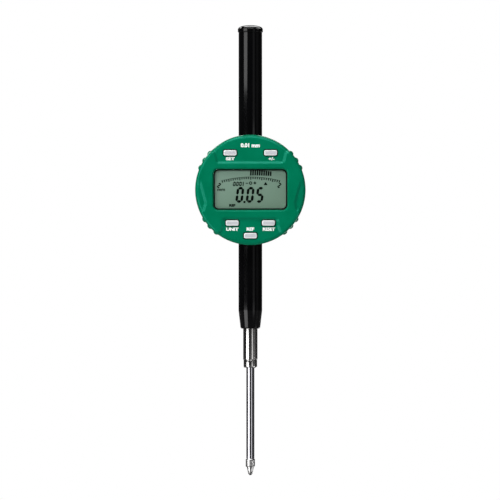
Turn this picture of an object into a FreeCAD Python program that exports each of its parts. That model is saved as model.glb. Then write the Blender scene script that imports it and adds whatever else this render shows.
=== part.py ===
import FreeCAD, Part
import Sketcher
import math
import os
from types import SimpleNamespace

Vector = FreeCAD.Vector

# A long-range digital indicator. The spindle runs along Z and the display faces -Y.
# The origin is on the spindle axis, in the middle of the 8 mm stem that a stand clamps.
# Pieces of the round head are drawn about the head's own centre and then lifted into place.

# Driving dimensions, in millimetres and degrees
sizes = {
    # Fits
    "slide_gap": 0.04,
    "fit_gap": 0.05,
    "drop_gap": 0.1,
    # Spindle line
    "travel": 50.8,
    "travel_spare": 0.3,
    "spindle_radius": 2.25,
    "stem_radius": 4.0,
    "stem_length": 17.4,
    "stem_spigot_radius": 3.7,
    "stem_spigot_length": 11.3,
    "bush_radius": 3.1,
    "bush_length": 8.0,
    "nose_radius": 3.77,
    "nose_length": 4.45,
    "nose_chamfer": 0.6,
    # Lower sleeve and upper tube
    "sleeve_radius": 6.6,
    "cone_length": 10.2,
    "cone_end_radius": 5.5,
    "mouth_chamfer": 0.6,
    "tube_radius": 6.57,
    "tube_bore_radius": 5.3,
    "tube_clear": 2.25,
    "tube_spigot_radius": 5.9,
    "tube_spigot_length": 8.0,
    "cap_radius": 7.0,
    "cap_rim": 2.05,
    "cap_dome": 2.0,
    "cap_dome_radius": 6.75,
    "cap_arc_ease": 0.4,
    "cap_edge": 0.5,
    "cap_plug_length": 4.5,
    "cap_hollow_radius": 3.4,
    "cap_roof": 2.95,
    # Contact point
    "contact_radius": 2.63,
    "contact_collar": 4.5,
    "contact_chamfer": 0.5,
    "contact_neck_radius": 1.95,
    "contact_end_radius": 1.2,
    "contact_taper": 3.9,
    "ball_radius": 1.05,
    "ball_sink": 0.3,
    "stud_radius": 1.25,
    "stud_length": 5.0,
    # Pieces on the spindle
    "bumper_height": 2.0,
    "bumper_radius": 3.3,
    "rod_way_radius": 2.6,
    "collar_height": 3.0,
    "collar_radius": 3.2,
    "peg_radius": 0.8,
    "peg_reach": 4.6,
    "flat_clear": 1.45,
    "strip_over": 3.85,
    "strip_clear": 3.6,
    "strip_width": 6.0,
    "strip_thickness": 0.8,
    "flat_offset": 0.9,
    "ring_inside": 1.15,
    "ring_height": 4.0,
    "tail_radius": 1.8,
    "tail_length": 8.0,
    "spring_radius": 4.2,
    "wire_radius": 0.3,
    # Guide rail behind the spindle
    "rail_face": 3.4,
    "rail_depth": 1.5,
    "rail_width": 3.5,
    "rail_end": 2.2,
    # Fixed housing behind the display
    "housing_inset": 1.4,
    "housing_front": 7.5,
    "housing_back": 7.5,
    "housing_wall": 1.8,
    "housing_floor": 1.6,
    "housing_edge": 0.8,
    "boss_proud": 0.2,
    "boss_length": 12.0,
    "boss_radius": 7.0,
    "pivot_radius": 11.0,
    "pivot_bore_radius": 7.0,
    "pivot_length": 3.3,
    "clip_groove_radius": 10.2,
    "clip_radius": 13.0,
    "clip_thickness": 0.7,
    "clip_opening": 40.0,
    "friction_inset": 5.4,
    "friction_width": 2.0,
    "friction_groove": 0.6,
    "stop_pin_radius": 1.0,
    "stop_pin_circle": 16.0,
    "stop_pin_depth": 1.2,
    "stop_pin_proud": 0.9,
    "stop_turn": 160.0,
    "stop_spare": 4.5,
    # Rear cover with its lug
    "rear_cover_thickness": 2.0,
    "rear_cover_edge": 0.7,
    "rear_screw_inset": 4.0,
    "rear_screw_angle": 60.0,
    "rear_post_radius": 2.4,
    "rear_screw_radius": 1.0,
    "rear_screw_length": 8.0,
    "rear_head_radius": 1.9,
    "rear_head_height": 1.0,
    "lug_thickness": 5.0,
    "lug_radius": 5.6,
    "lug_corner": 5.5,
    "lug_hole_radius": 3.25,
    "lug_hole_reach": 5.8,
    "lug_foot": 7.6,
    # Battery and its cover
    "battery_angle": 24.5,
    "battery_clear": 0.27,
    "battery_radius": 10.0,
    "battery_height": 3.2,
    "battery_pillar_radius": 3.0,
    "tray_floor": 0.8,
    "tray_wall": 0.5,
    "tray_gap": 0.15,
    "tray_face": 2.8,
    "battery_edge": 0.5,
    "contact_leaf": 0.5,
    "contact_leaf_radius": 4.0,
    "skirt_wall": 0.65,
    "cover_side_gap": 0.2,
    "cover_thickness": 1.6,
    "cover_skirt": 1.1,
    "cover_seal_thickness": 0.5,
    "cover_seal_width": 0.7,
    "tab_reach": 0.9,
    "tab_thickness": 0.6,
    "tab_width": 4.0,
    "tab_angle": 114.8,
    "cover_turn": 30.0,
    "coin_slot_length": 13.0,
    "coin_slot_width": 1.8,
    "coin_slot_corner": 0.8,
    "coin_slot_depth": 0.9,
    # Reader board
    "reader_air": 0.3,
    "reader_width": 21.0,
    "reader_height": 16.0,
    "reader_thickness": 1.0,
    "reader_post_x": 8.5,
    "reader_post_z": 6.0,
    "reader_post_radius": 1.6,
    "reader_chip_side": 6.0,
    "reader_chip_height": 1.1,
    "small_screw_radius": 0.6,
    "small_screw_length": 2.2,
    "small_head_radius": 1.15,
    "small_head_height": 0.7,
    # Display head
    "head_radius": 30.8,
    "face_front": 19.5,
    "face_fillet": 1.8,
    "band_rise": 1.0,
    "band_slope": 55.0,
    "low_edge_fillet": 2.2,
    "low_edge_spread": 0.25,
    "cover_wall": 2.0,
    "face_wall": 1.5,
    "turn_air": 0.3,
    "back_plate": 1.6,
    "grip_radius": 1.93,
    "grip_rise": 0.84,
    "grip_pitch": 9.0,
    "grip_count": 3,
    "grip_upper": 24.0,
    "grip_lower": 33.0,
    "grip_setback": 2.9,
    # Raised band across the face
    "band_out": 6.0,
    "band_above": 3.45,
    "band_top_corner": 19.0,
    "band_top_flare": 5.6,
    "band_corner": 2.4,
    "band_under": 4.25,
    "band_bottom_corner": 16.2,
    "band_bottom_flare": 5.6,
    "band_side": 4.6,
    "scoop_top": 7.6,
    "scoop_top_inset": 2.6,
    "scoop_deep": 7.4,
    "scoop_deep_inset": 6.7,
    "scoop_low": 14.6,
    "scoop_low_inset": 4.6,
    "scoop_corner": 4.0,
    # Window, seal and panel
    "window_side": 10.2,
    "window_end": 19.45,
    "window_lift": 0.2,
    "window_corner": 2.8,
    "window_bevel": 0.8,
    "pane_sink": 0.3,
    "pane_flange": 1.1,
    "pane_flange_thickness": 1.0,
    "seal_thickness": 0.5,
    "view_border": 0.85,
    "view_corner": 2.2,
    "panel_over": 1.4,
    "panel_thickness": 2.0,
    "zebra_height": 1.5,
    "zebra_width": 1.6,
    "zebra_inset": 1.3,
    # Display board and what it carries
    "board_thickness": 1.0,
    "board_inset": 3.4,
    "board_post_inset": 5.4,
    "board_post_radius": 1.8,
    "display_chip_side": 9.0,
    "display_chip_height": 1.0,
    "ribbon_inner_radius": 3.0,
    "ribbon_pitch": 1.35,
    "ribbon_thickness": 0.25,
    "ribbon_width": 2.8,
    "ribbon_turns": 2,
    "plate_post_inset": 5.0,
    "plate_post_angle": 39.0,
    "plate_post_radius": 2.1,
    "plate_screw_length": 5.0,
    # Buttons
    "button_width": 7.5,
    "button_height": 3.3,
    "button_corner": 1.0,
    "button_rise": 0.9,
    "button_bevel": 0.55,
    "button_gap": 0.35,
    "button_flange": 1.0,
    "button_flange_thickness": 0.8,
    "button_travel": 0.5,
    "button_spare": 0.05,
    "plunger_width": 4.0,
    "plunger_height": 1.6,
    "switch_width": 4.2,
    "switch_height": 3.4,
    "switch_thickness": 0.9,
    "switch_dome_radius": 0.9,
    "switch_dome": 0.3,
    "top_button_x": 11.3,
    "top_button_inset": 10.2,
    "low_button_x": 10.1,
    "low_button_inset": 12.3,
    "end_button_inset": 5.2,
}

doc = FreeCAD.newDocument("digital_indicator")
sheet = doc.addObject("Spreadsheet::Sheet", "Sizes")
for row, (name, value) in enumerate(sizes.items(), start=1):
    sheet.set(f"A{row}", name)
    sheet.set(f"B{row}", str(value))
    sheet.setAlias(f"B{row}", name)
doc.recompute()


class Size:
    """A length or angle that knows its value and the formula that gives it from the sheet."""

    def __init__(self, value, formula):
        self.value = value
        self.formula = formula

    def joined(self, other, sign, value):
        return Size(value, f"({self.formula} {sign} {as_size(other).formula})")

    def __add__(self, other):
        return self.joined(other, "+", self.value + as_size(other).value)

    def __sub__(self, other):
        return self.joined(other, "-", self.value - as_size(other).value)

    def __mul__(self, other):
        return self.joined(other, "*", self.value * as_size(other).value)

    def __truediv__(self, other):
        return self.joined(other, "/", self.value / as_size(other).value)

    def __neg__(self):
        return Size(-self.value, f"(0 - {self.formula})")


def as_size(number):
    return number if isinstance(number, Size) else Size(float(number), str(float(number)))


def across(circle, angle):
    """How far right a point at this angle on this circle is."""
    value = circle.value * math.cos(math.radians(angle.value))
    return Size(value, f"({circle.formula} * cos({angle.formula} * 1 deg))")


def above(circle, angle):
    """How far up a point at this angle on this circle is."""
    value = circle.value * math.sin(math.radians(angle.value))
    return Size(value, f"({circle.formula} * sin({angle.formula} * 1 deg))")


s = SimpleNamespace(**{name: Size(float(sheet.get(name)), f"Sizes.{name}") for name in sizes})
zero = as_size(0)

# Sizes across the head that follow its radius
cover_inner = s.head_radius - s.cover_wall
housing_radius = s.head_radius - s.housing_inset
housing_inner = housing_radius - s.housing_wall
boss_reach = housing_radius + s.boss_proud
boss_start = boss_reach - s.boss_length
friction_outer = housing_radius - s.friction_inset
friction_inner = friction_outer - s.friction_width
rear_screw_circle = housing_radius - s.rear_screw_inset
tray_radius = s.battery_radius + s.tray_gap + s.tray_wall
cover_radius = tray_radius + s.drop_gap + s.skirt_wall
battery_circle = housing_inner - cover_radius - s.battery_clear
battery_x = -across(battery_circle, s.battery_angle)
battery_z = -above(battery_circle, s.battery_angle)
plate_post_circle = s.head_radius - s.plate_post_inset
board_post_circle = s.head_radius - s.board_post_inset
window_width = (s.head_radius - s.window_side) * 2
window_height = (s.head_radius - s.window_end) * 2
pane_width = window_width + s.pane_flange * 2
pane_height = window_height + s.pane_flange * 2
panel_width = window_width + s.panel_over * 2
panel_height = window_height + s.panel_over * 2
top_button_z = s.head_radius - s.top_button_inset
low_button_z = s.head_radius - s.low_button_inset
end_button_z = s.head_radius - s.end_button_inset
band_top = window_height / 2 + s.window_lift + s.band_above
band_bottom = window_height / 2 - s.window_lift + s.band_under

# Heights along the spindle
mouth = s.stem_length / 2
nose_top = -(s.stem_length / 2)
nose_end = nose_top - s.nose_length
rod_end = nose_end - s.travel - s.travel_spare
collar_end = rod_end - s.contact_collar
ball_z = collar_end - s.contact_taper + s.ball_sink
shelf = mouth + s.stem_spigot_length
bumper_top = shelf + s.bumper_height
collar_top = bumper_top + s.collar_height
peg_z = bumper_top + s.collar_height / 2
strip_low = collar_top + s.strip_clear
head_z = strip_low + s.travel + s.strip_over + s.reader_chip_side / 2
sleeve_seat = head_z - boss_reach
tube_seat = head_z + boss_reach
strip_high = head_z + s.reader_chip_side / 2 + s.strip_over
flat_high = head_z + s.reader_height / 2 + s.flat_clear
flat_low = head_z - s.reader_height / 2 - s.flat_clear - s.travel
ring_low = head_z + boss_start + s.ring_inside
ring_top = ring_low + s.ring_height
rod_top = ring_top + s.tail_length
plug_end = rod_top + s.travel + s.tube_clear
tube_top = plug_end + s.cap_plug_length

# Depths through the head, towards the back (+Y)
face = -s.face_front
panel_floor = face + s.band_rise
inner_face = panel_floor + s.face_wall
flange_back = inner_face + s.pane_flange_thickness
seal_back = flange_back + s.seal_thickness
panel_back = seal_back + s.panel_thickness
board_front = panel_back + s.zebra_height
board_back = board_front + s.board_thickness
head_back = -(s.housing_front + s.turn_air)
plate_front = head_back - s.back_plate
housing_face = -s.housing_front
housing_inside = housing_face + s.housing_floor
strip_front = -(s.flat_offset + s.strip_thickness)
reader_back = strip_front - s.reader_air
reader_front = reader_back - s.reader_thickness
tray_inside = s.tray_face + s.tray_floor
battery_front = tray_inside + s.contact_leaf
battery_back = battery_front + s.battery_height
rear_face = s.housing_back + s.rear_cover_thickness
cover_inside = rear_face - s.cover_thickness
lug_hole_y = rear_face + s.lug_hole_reach
clip_front = plate_front - s.drop_gap - s.clip_thickness
switch_tip = board_front - s.switch_thickness - s.switch_dome
button_front = panel_floor - s.button_rise


# Ways of drawing


def bind(thing, setting, size):
    thing.setExpression(setting, as_size(size).formula)


def new_body(name, x=None, y=None, z=None):
    """An empty piece, moved by x, y and z where they are given."""
    body = doc.addObject("PartDesign::Body", name)
    body.Label = name
    body.AllowCompound = True
    for axis, size in (("x", x), ("y", y), ("z", z)):
        if size is not None:
            bind(body, f"Placement.Base.{axis}", size)
    return body


def sketch_on(body, role, offset=None):
    """A sketch on one of the body's own planes, raised along that plane's normal."""
    plane = next(f for f in body.Origin.OriginFeatures if f.Role == role)
    sketch = body.newObject("Sketcher::SketchObject", f"{body.Name}_sketch")
    sketch.AttachmentSupport = [(plane, "")]
    sketch.MapMode = "FlatFace"
    if offset is not None:
        bind(sketch, "AttachmentOffset.Base.z", offset)
    return sketch


def pin_point(sketch, geometry, end, x, y):
    """Fixes one point of a sketch at x, y from the sketch's origin."""
    for kind, size in (("DistanceX", x), ("DistanceY", y)):
        constraint = Sketcher.Constraint(kind, -1, 1, geometry, end, size.value)
        bind(sketch, f"Constraints[{sketch.addConstraint(constraint)}]", size)


def circle(sketch, x, y, radius):
    x, y, radius = as_size(x), as_size(y), as_size(radius)
    shape = Part.Circle(Vector(x.value, y.value, 0), Vector(0, 0, 1), radius.value)
    number = sketch.addGeometry(shape, False)
    pin_point(sketch, number, 3, x, y)
    index = sketch.addConstraint(Sketcher.Constraint("Radius", number, radius.value))
    bind(sketch, f"Constraints[{index}]", radius)


def corner_arc(before, corner, after, radius):
    """The tangent points and the arc that round a corner, and whether the arc starts at the first."""
    to_before = (before - corner).normalize()
    to_after = (after - corner).normalize()
    half = to_before.getAngle(to_after) / 2
    first = corner + to_before * (radius / math.tan(half))
    last = corner + to_after * (radius / math.tan(half))
    centre = corner + (to_before + to_after).normalize() * (radius / math.sin(half))
    start, end = first - centre, last - centre
    forward = start.cross(end).z > 0
    if not forward:
        start, end = end, start
    angles = [math.atan2(v.y, v.x) for v in (start, end)]
    arc = Part.ArcOfCircle(Part.Circle(centre, Vector(0, 0, 1), radius), *angles)
    return first, last, arc, forward


def outline(sketch, corners):
    """A closed outline through corners given as (x, y) or, where rounded, (x, y, radius)."""
    corners = [[as_size(size) for size in corner] for corner in corners]
    count = len(corners)
    spots = [Vector(c[0].value, c[1].value, 0) for c in corners]
    leave, arrive, arcs = list(spots), list(spots), {}
    for i, corner in enumerate(corners):
        if len(corner) == 3:
            arrive[i], leave[i], arc, forward = corner_arc(
                spots[i - 1], spots[i], spots[(i + 1) % count], corner[2].value
            )
            arcs[i] = (arc, forward)
    lines = [
        sketch.addGeometry(Part.LineSegment(leave[i], arrive[(i + 1) % count]), False)
        for i in range(count)
    ]
    for i, corner in enumerate(corners):
        before, after = lines[i - 1], lines[i]
        if i not in arcs:
            sketch.addConstraint(Sketcher.Constraint("Coincident", before, 2, after, 1))
            pin_point(sketch, after, 1, corner[0], corner[1])
            continue
        arc, forward = arcs[i]
        number = sketch.addGeometry(arc, False)
        ends = (1, 2) if forward else (2, 1)
        sketch.addConstraint(Sketcher.Constraint("Tangent", before, 2, number, ends[0]))
        sketch.addConstraint(Sketcher.Constraint("Tangent", after, 1, number, ends[1]))
        index = sketch.addConstraint(Sketcher.Constraint("Radius", number, corner[2].value))
        bind(sketch, f"Constraints[{index}]", corner[2])
        point = sketch.addGeometry(Part.Point(spots[i]), True)
        sketch.addConstraint(Sketcher.Constraint("PointOnObject", point, 1, before))
        sketch.addConstraint(Sketcher.Constraint("PointOnObject", point, 1, after))
        pin_point(sketch, point, 1, corner[0], corner[1])


def rectangle(sketch, x, y, width, height, radius=None):
    """A rectangle about x, y, with rounded corners where a radius is given."""
    x, y, width, height = as_size(x), as_size(y), as_size(width), as_size(height)
    left, right = x - width / 2, x + width / 2
    low, high = y - height / 2, y + height / 2
    corners = [(left, low), (right, low), (right, high), (left, high)]
    outline(sketch, [c if radius is None else (*c, radius) for c in corners])


def radial_box(sketch, angle, inner, outer, width, x=0, y=0):
    """A box from one radius to another about x, y, at this angle."""
    corners = []
    for radius, side in ((inner, -0.5), (outer, -0.5), (outer, 0.5), (inner, 0.5)):
        along = across(radius, angle) - above(width * side, angle)
        up = above(radius, angle) + across(width * side, angle)
        corners.append((along + x, up + y))
    outline(sketch, corners)


def extrude(kind, body, sketch, length, away=False, taper=None):
    """A pad or pocket of this sketch. Away runs it against the usual direction."""
    feature = body.newObject(f"PartDesign::{kind}", f"{body.Name}_{kind.lower()}")
    feature.Profile = sketch
    bind(feature, "Length", length)
    feature.Reversed = away
    if taper is not None:
        bind(feature, "TaperAngle", taper)
    sketch.Visibility = False
    doc.recompute()
    return feature


def pad(body, sketch, length, away=False, taper=None):
    return extrude("Pad", body, sketch, length, away, taper)


def pocket(body, sketch, length, away=False):
    """A pocket, which has to take something away."""
    before = body.Shape.Volume
    feature = extrude("Pocket", body, sketch, length, away)
    if body.Shape.Volume >= before:
        raise RuntimeError(f"a pocket in {body.Label} cuts nothing")
    return feature


def revolve(kind, body, sketch, axis, angle=360):
    """A revolution or groove, centred on the sketch where it isn't a full turn."""
    before = body.Shape.Volume if kind == "Groove" else None
    feature = body.newObject(f"PartDesign::{kind}", f"{body.Name}_{kind.lower()}")
    feature.Profile = sketch
    feature.ReferenceAxis = (sketch, [axis])
    feature.Midplane = True
    bind(feature, "Angle", angle)
    sketch.Visibility = False
    doc.recompute()
    if kind == "Groove" and body.Shape.Volume >= before:
        raise RuntimeError(f"a groove in {body.Label} cuts nothing")
    return feature


def turned(name, profile, **place):
    """A piece turned about the spindle's line. Its profile holds radii and heights."""
    body = new_body(name, **place)
    sketch = sketch_on(body, "XZ_Plane")
    outline(sketch, profile)
    revolve("Revolution", body, sketch, "V_Axis")
    return body


def turned_about_depth(name, profile, **place):
    """A piece turned about a line from front to back. Its profile holds depths and radii."""
    body = new_body(name, **place)
    sketch = sketch_on(body, "YZ_Plane")
    outline(sketch, profile)
    revolve("Revolution", body, sketch, "H_Axis")
    return body


def face_sketch(body, depth):
    """A sketch that faces the front, at this depth. Pads on it run forward, pockets back."""
    return sketch_on(body, "XZ_Plane", -as_size(depth))


def rounded_edges(body, kind, size, picked):
    """A fillet or chamfer on the body's edges that the test picks."""
    tip = body.Tip
    names = [f"Edge{i}" for i, edge in enumerate(tip.Shape.Edges, start=1) if picked(edge)]
    if not names:
        raise RuntimeError(f"no edge of {body.Label} was picked for its {kind.lower()}")
    feature = body.newObject(f"PartDesign::{kind}", f"{body.Name}_{kind.lower()}")
    feature.Base = (tip, names)
    bind(feature, "Radius" if kind == "Fillet" else "Size", size)
    doc.recompute()
    return feature


def lies_at(depth):
    """Picks the edges that lie flat at this depth."""
    return lambda edge: all(abs(v.Y - depth.value) < 1e-4 for v in edge.Vertexes) and (
        edge.BoundBox.YLength < 1e-4
    )


def boolean(kind, name, first, second):
    """The cut or the fuse of two objects."""
    result = doc.addObject(f"Part::{kind}", name)
    result.Label = name
    result.Base = first
    result.Tool = second
    result.Refine = True
    doc.recompute()
    return result


def screw_set(name, spots, seat, radius, length, head_radius, head_height):
    """Like screws at these spots. Their heads stand on the seat, towards the back."""
    body = new_body(name, z=head_z)
    for size, run, behind in ((head_radius, head_height, True), (radius, length, False)):
        sketch = face_sketch(body, seat)
        for x, z in spots:
            circle(sketch, x, z, size)
        pad(body, sketch, run, away=behind)
    return body


def four_ways(x, z):
    return [(x, z), (-x, z), (-x, -z), (x, -z)]


# Spindle and what moves with it


def make_spindle_rod():
    profile = [
        (zero, rod_end),
        (s.spindle_radius, rod_end),
        (s.spindle_radius, ring_low),
        (s.tail_radius, ring_low),
        (s.tail_radius, rod_top),
        (zero, rod_top),
    ]
    body = turned("spindle_rod", profile)
    # Flat in front for the scale strip
    reach = s.spindle_radius + s.fit_gap
    flat = sketch_on(body, "YZ_Plane", -reach)
    back = -s.flat_offset
    outline(flat, [(-reach, flat_low), (back, flat_low), (back, flat_high), (-reach, flat_high)])
    pocket(body, flat, reach * 2, away=True)
    # Socket for the contact point's stud
    socket = sketch_on(body, "XY_Plane", rod_end)
    circle(socket, 0, 0, s.stud_radius + s.fit_gap)
    pocket(body, socket, s.stud_length + s.fit_gap, away=True)
    # Cross hole for the guide peg
    cross = face_sketch(body, -reach)
    circle(cross, 0, peg_z, s.peg_radius + s.fit_gap)
    pocket(body, cross, reach * 2)
    return body


def make_contact_point():
    collar_low = collar_end
    cone_end = collar_low - s.contact_taper
    profile = [
        (zero, rod_end + s.stud_length),
        (s.stud_radius, rod_end + s.stud_length),
        (s.stud_radius, rod_end),
        (s.contact_radius - s.contact_chamfer, rod_end),
        (s.contact_radius, rod_end - s.contact_chamfer),
        (s.contact_radius, collar_low),
        (s.contact_neck_radius, collar_low),
        (s.contact_end_radius, cone_end),
        (s.ball_radius + s.fit_gap, cone_end),
        (s.ball_radius + s.fit_gap, ball_z + s.ball_radius + s.fit_gap),
        (zero, ball_z + s.ball_radius + s.fit_gap),
    ]
    return turned("contact_point", profile)


def make_contact_ball():
    ball = doc.addObject("Part::Sphere", "contact_ball")
    ball.Label = "contact_ball"
    bind(ball, "Radius", s.ball_radius)
    bind(ball, "Placement.Base.z", ball_z)
    doc.recompute()
    return ball


def make_scale_strip():
    body = new_body("scale_strip")
    sketch = sketch_on(body, "XY_Plane", strip_low)
    middle = -(s.flat_offset + s.strip_thickness / 2)
    rectangle(sketch, 0, middle, s.strip_width, s.strip_thickness)
    pad(body, sketch, strip_high - strip_low)
    return body


def make_stop_collar():
    inner = s.spindle_radius + s.fit_gap
    profile = [
        (inner, bumper_top),
        (s.collar_radius, bumper_top),
        (s.collar_radius, collar_top),
        (inner, collar_top),
    ]
    body = turned("stop_collar", profile)
    cross = face_sketch(body, -(s.collar_radius + s.fit_gap))
    circle(cross, 0, peg_z, s.peg_radius + s.fit_gap)
    pocket(body, cross, (s.collar_radius + s.fit_gap) * 2)
    return body


def make_guide_peg():
    """The pin that holds the stop collar and keeps the spindle from turning."""
    front = -s.collar_radius + s.fit_gap * 4
    profile = [(front, zero), (front, s.peg_radius), (s.peg_reach, s.peg_radius), (s.peg_reach, zero)]
    return turned_about_depth("guide_peg", profile, z=peg_z)


def make_guide_ring():
    profile = [
        (s.tail_radius + s.fit_gap, ring_low),
        (s.tube_bore_radius - s.slide_gap, ring_low),
        (s.tube_bore_radius - s.slide_gap, ring_top),
        (s.tail_radius + s.fit_gap, ring_top),
    ]
    return turned("guide_ring", profile)


def make_return_spring():
    """A coil spring drawn as its closed tube of round coils, side by side."""
    outer = s.spring_radius + s.wire_radius
    inner = s.spring_radius - s.wire_radius
    profile = [(inner, ring_top), (outer, ring_top), (outer, plug_end), (inner, plug_end)]
    return turned("return_spring", profile)


# Stem, sleeve and tube


def make_stem():
    socket = s.bush_radius + s.fit_gap
    bush_end = nose_top + s.bush_length + s.drop_gap
    profile = [
        (socket, nose_top),
        (s.stem_radius, nose_top),
        (s.stem_radius, mouth),
        (s.stem_spigot_radius, mouth),
        (s.stem_spigot_radius, shelf),
        (s.rod_way_radius, shelf),
        (s.rod_way_radius, bush_end),
        (socket, bush_end),
    ]
    return turned("stem", profile)


def make_lower_bush():
    inner = s.spindle_radius + s.slide_gap
    profile = [
        (inner, nose_end),
        (s.nose_radius - s.nose_chamfer, nose_end),
        (s.nose_radius, nose_end + s.nose_chamfer),
        (s.nose_radius, nose_top),
        (s.bush_radius, nose_top),
        (s.bush_radius, nose_top + s.bush_length),
        (inner, nose_top + s.bush_length),
    ]
    return turned("lower_bush", profile)


def make_stop_bumper():
    profile = [
        (s.rod_way_radius, shelf),
        (s.bumper_radius, shelf),
        (s.bumper_radius, bumper_top),
        (s.rod_way_radius, bumper_top),
    ]
    return turned("stop_bumper", profile)


def make_lower_sleeve():
    spigot_end = sleeve_seat + s.tube_spigot_length
    throat = s.stem_spigot_radius + s.fit_gap
    profile = [
        (throat, mouth),
        (s.cone_end_radius - s.mouth_chamfer, mouth),
        (s.cone_end_radius, mouth + s.mouth_chamfer),
        (s.sleeve_radius, mouth + s.cone_length),
        (s.sleeve_radius, sleeve_seat),
        (s.tube_spigot_radius, sleeve_seat),
        (s.tube_spigot_radius, spigot_end),
        (s.tube_bore_radius, spigot_end),
        (s.tube_bore_radius, shelf),
        (throat, shelf),
    ]
    return turned("lower_sleeve", profile)


def make_upper_tube():
    spigot_end = tube_seat - s.tube_spigot_length
    profile = [
        (s.tube_bore_radius, spigot_end),
        (s.tube_spigot_radius, spigot_end),
        (s.tube_spigot_radius, tube_seat),
        (s.tube_radius, tube_seat),
        (s.tube_radius, tube_top),
        (s.tube_bore_radius, tube_top),
    ]
    return turned("upper_tube", profile)


def make_tube_cap():
    rim_top = tube_top + s.cap_rim
    plug = s.tube_bore_radius - s.fit_gap
    edge, rise = s.cap_dome_radius, s.cap_dome
    spread = edge * edge + rise * rise
    profile = [
        (zero, tube_top + s.cap_roof - s.cap_dome),
        (s.cap_hollow_radius, tube_top + s.cap_roof - s.cap_dome),
        (s.cap_hollow_radius, plug_end),
        (plug, plug_end),
        (plug, tube_top),
        (s.cap_radius - s.cap_edge, tube_top),
        (s.cap_radius, tube_top + s.cap_edge),
        (s.cap_radius, rim_top),
        (edge, rim_top),
        (spread / (edge * 2), rim_top + rise, spread / (rise * 2) - s.cap_arc_ease),
        (zero, rim_top + rise),
    ]
    return turned("tube_cap", profile)


def make_guide_rail():
    """A slotted rail on the sleeve's shelf. The guide peg runs up and down in its slot."""
    body = new_body("guide_rail")
    slot_end = peg_z + s.travel + s.peg_radius + s.travel_spare
    top = slot_end + s.rail_end
    plan = sketch_on(body, "XY_Plane", shelf)
    rectangle(plan, 0, s.rail_face + s.rail_depth / 2, s.rail_width, s.rail_depth)
    pad(body, plan, top - shelf)
    slot = face_sketch(body, s.rail_face - s.fit_gap)
    half, low = s.peg_radius + s.slide_gap, shelf + s.rail_end
    outline(slot, [(-half, low), (half, low), (half, slot_end), (-half, slot_end)])
    pocket(body, slot, s.rail_depth + s.fit_gap * 2)
    return body


# Housing behind the display


def make_frame_housing():
    radius, inner = housing_radius, housing_inner
    nose = housing_face - s.pivot_length
    groove_front = clip_front - s.fit_gap
    groove_back = clip_front + s.clip_thickness + s.fit_gap
    profile = [
        (housing_face, radius - s.housing_edge),
        (housing_face + s.housing_edge, radius),
        (s.housing_back, radius),
        (s.housing_back, inner),
        (housing_inside, inner),
        (housing_inside, s.pivot_bore_radius),
        (nose, s.pivot_bore_radius),
        (nose, s.pivot_radius),
        (groove_front, s.pivot_radius),
        (groove_front, s.clip_groove_radius),
        (groove_back, s.clip_groove_radius),
        (groove_back, s.pivot_radius),
        (housing_face, s.pivot_radius),
    ]
    body = turned_about_depth("frame_housing", profile, z=head_z)
    # Sockets above and below for the tube and the sleeve
    for away in (False, True):
        boss = sketch_on(body, "XY_Plane", -boss_start if away else boss_start)
        circle(boss, 0, 0, s.boss_radius)
        pad(body, boss, s.boss_length, away=away)
    # Posts off the front wall
    posts = (
        (rear_screw_spots, s.rear_post_radius, s.housing_back),
        (reader_post_spots, s.reader_post_radius, reader_front),
        ([(battery_x, battery_z)], s.battery_pillar_radius, s.tray_face),
    )
    for spots, size, end in posts:
        sketch = face_sketch(body, housing_inside)
        for x, z in spots:
            circle(sketch, x, z, size)
        pad(body, sketch, end - housing_inside, away=True)
    # The spindle's way through, with a wider socket at each end
    through = sketch_on(body, "XY_Plane", -boss_reach)
    circle(through, 0, 0, s.tube_bore_radius)
    pocket(body, through, boss_reach * 2, away=True)
    for away in (False, True):
        socket = sketch_on(body, "XY_Plane", -boss_reach if away else boss_reach)
        circle(socket, 0, 0, s.tube_spigot_radius + s.fit_gap)
        pocket(body, socket, s.tube_spigot_length, away=away)
    # Screw holes, and the hole for the turning stop
    holes = (
        (rear_screw_spots, s.rear_screw_radius, s.housing_back, s.rear_screw_length),
        (reader_post_spots, s.small_screw_radius, reader_front, s.small_screw_length),
    )
    for spots, size, start, length in holes:
        sketch = face_sketch(body, start)
        for x, z in spots:
            circle(sketch, x, z, size + s.fit_gap)
        pocket(body, sketch, length, away=True)
    stop = face_sketch(body, housing_face)
    circle(stop, 0, -s.stop_pin_circle, s.stop_pin_radius + s.fit_gap)
    pocket(body, stop, s.stop_pin_depth)
    # Groove for the friction ring
    groove = sketch_on(body, "YZ_Plane")
    near, far = friction_inner - s.fit_gap, friction_outer + s.fit_gap
    floor = housing_face + s.friction_groove
    outline(groove, [(floor, near), (housing_face, near), (housing_face, far), (floor, far)])
    revolve("Groove", body, groove, "H_Axis")
    return body


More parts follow.
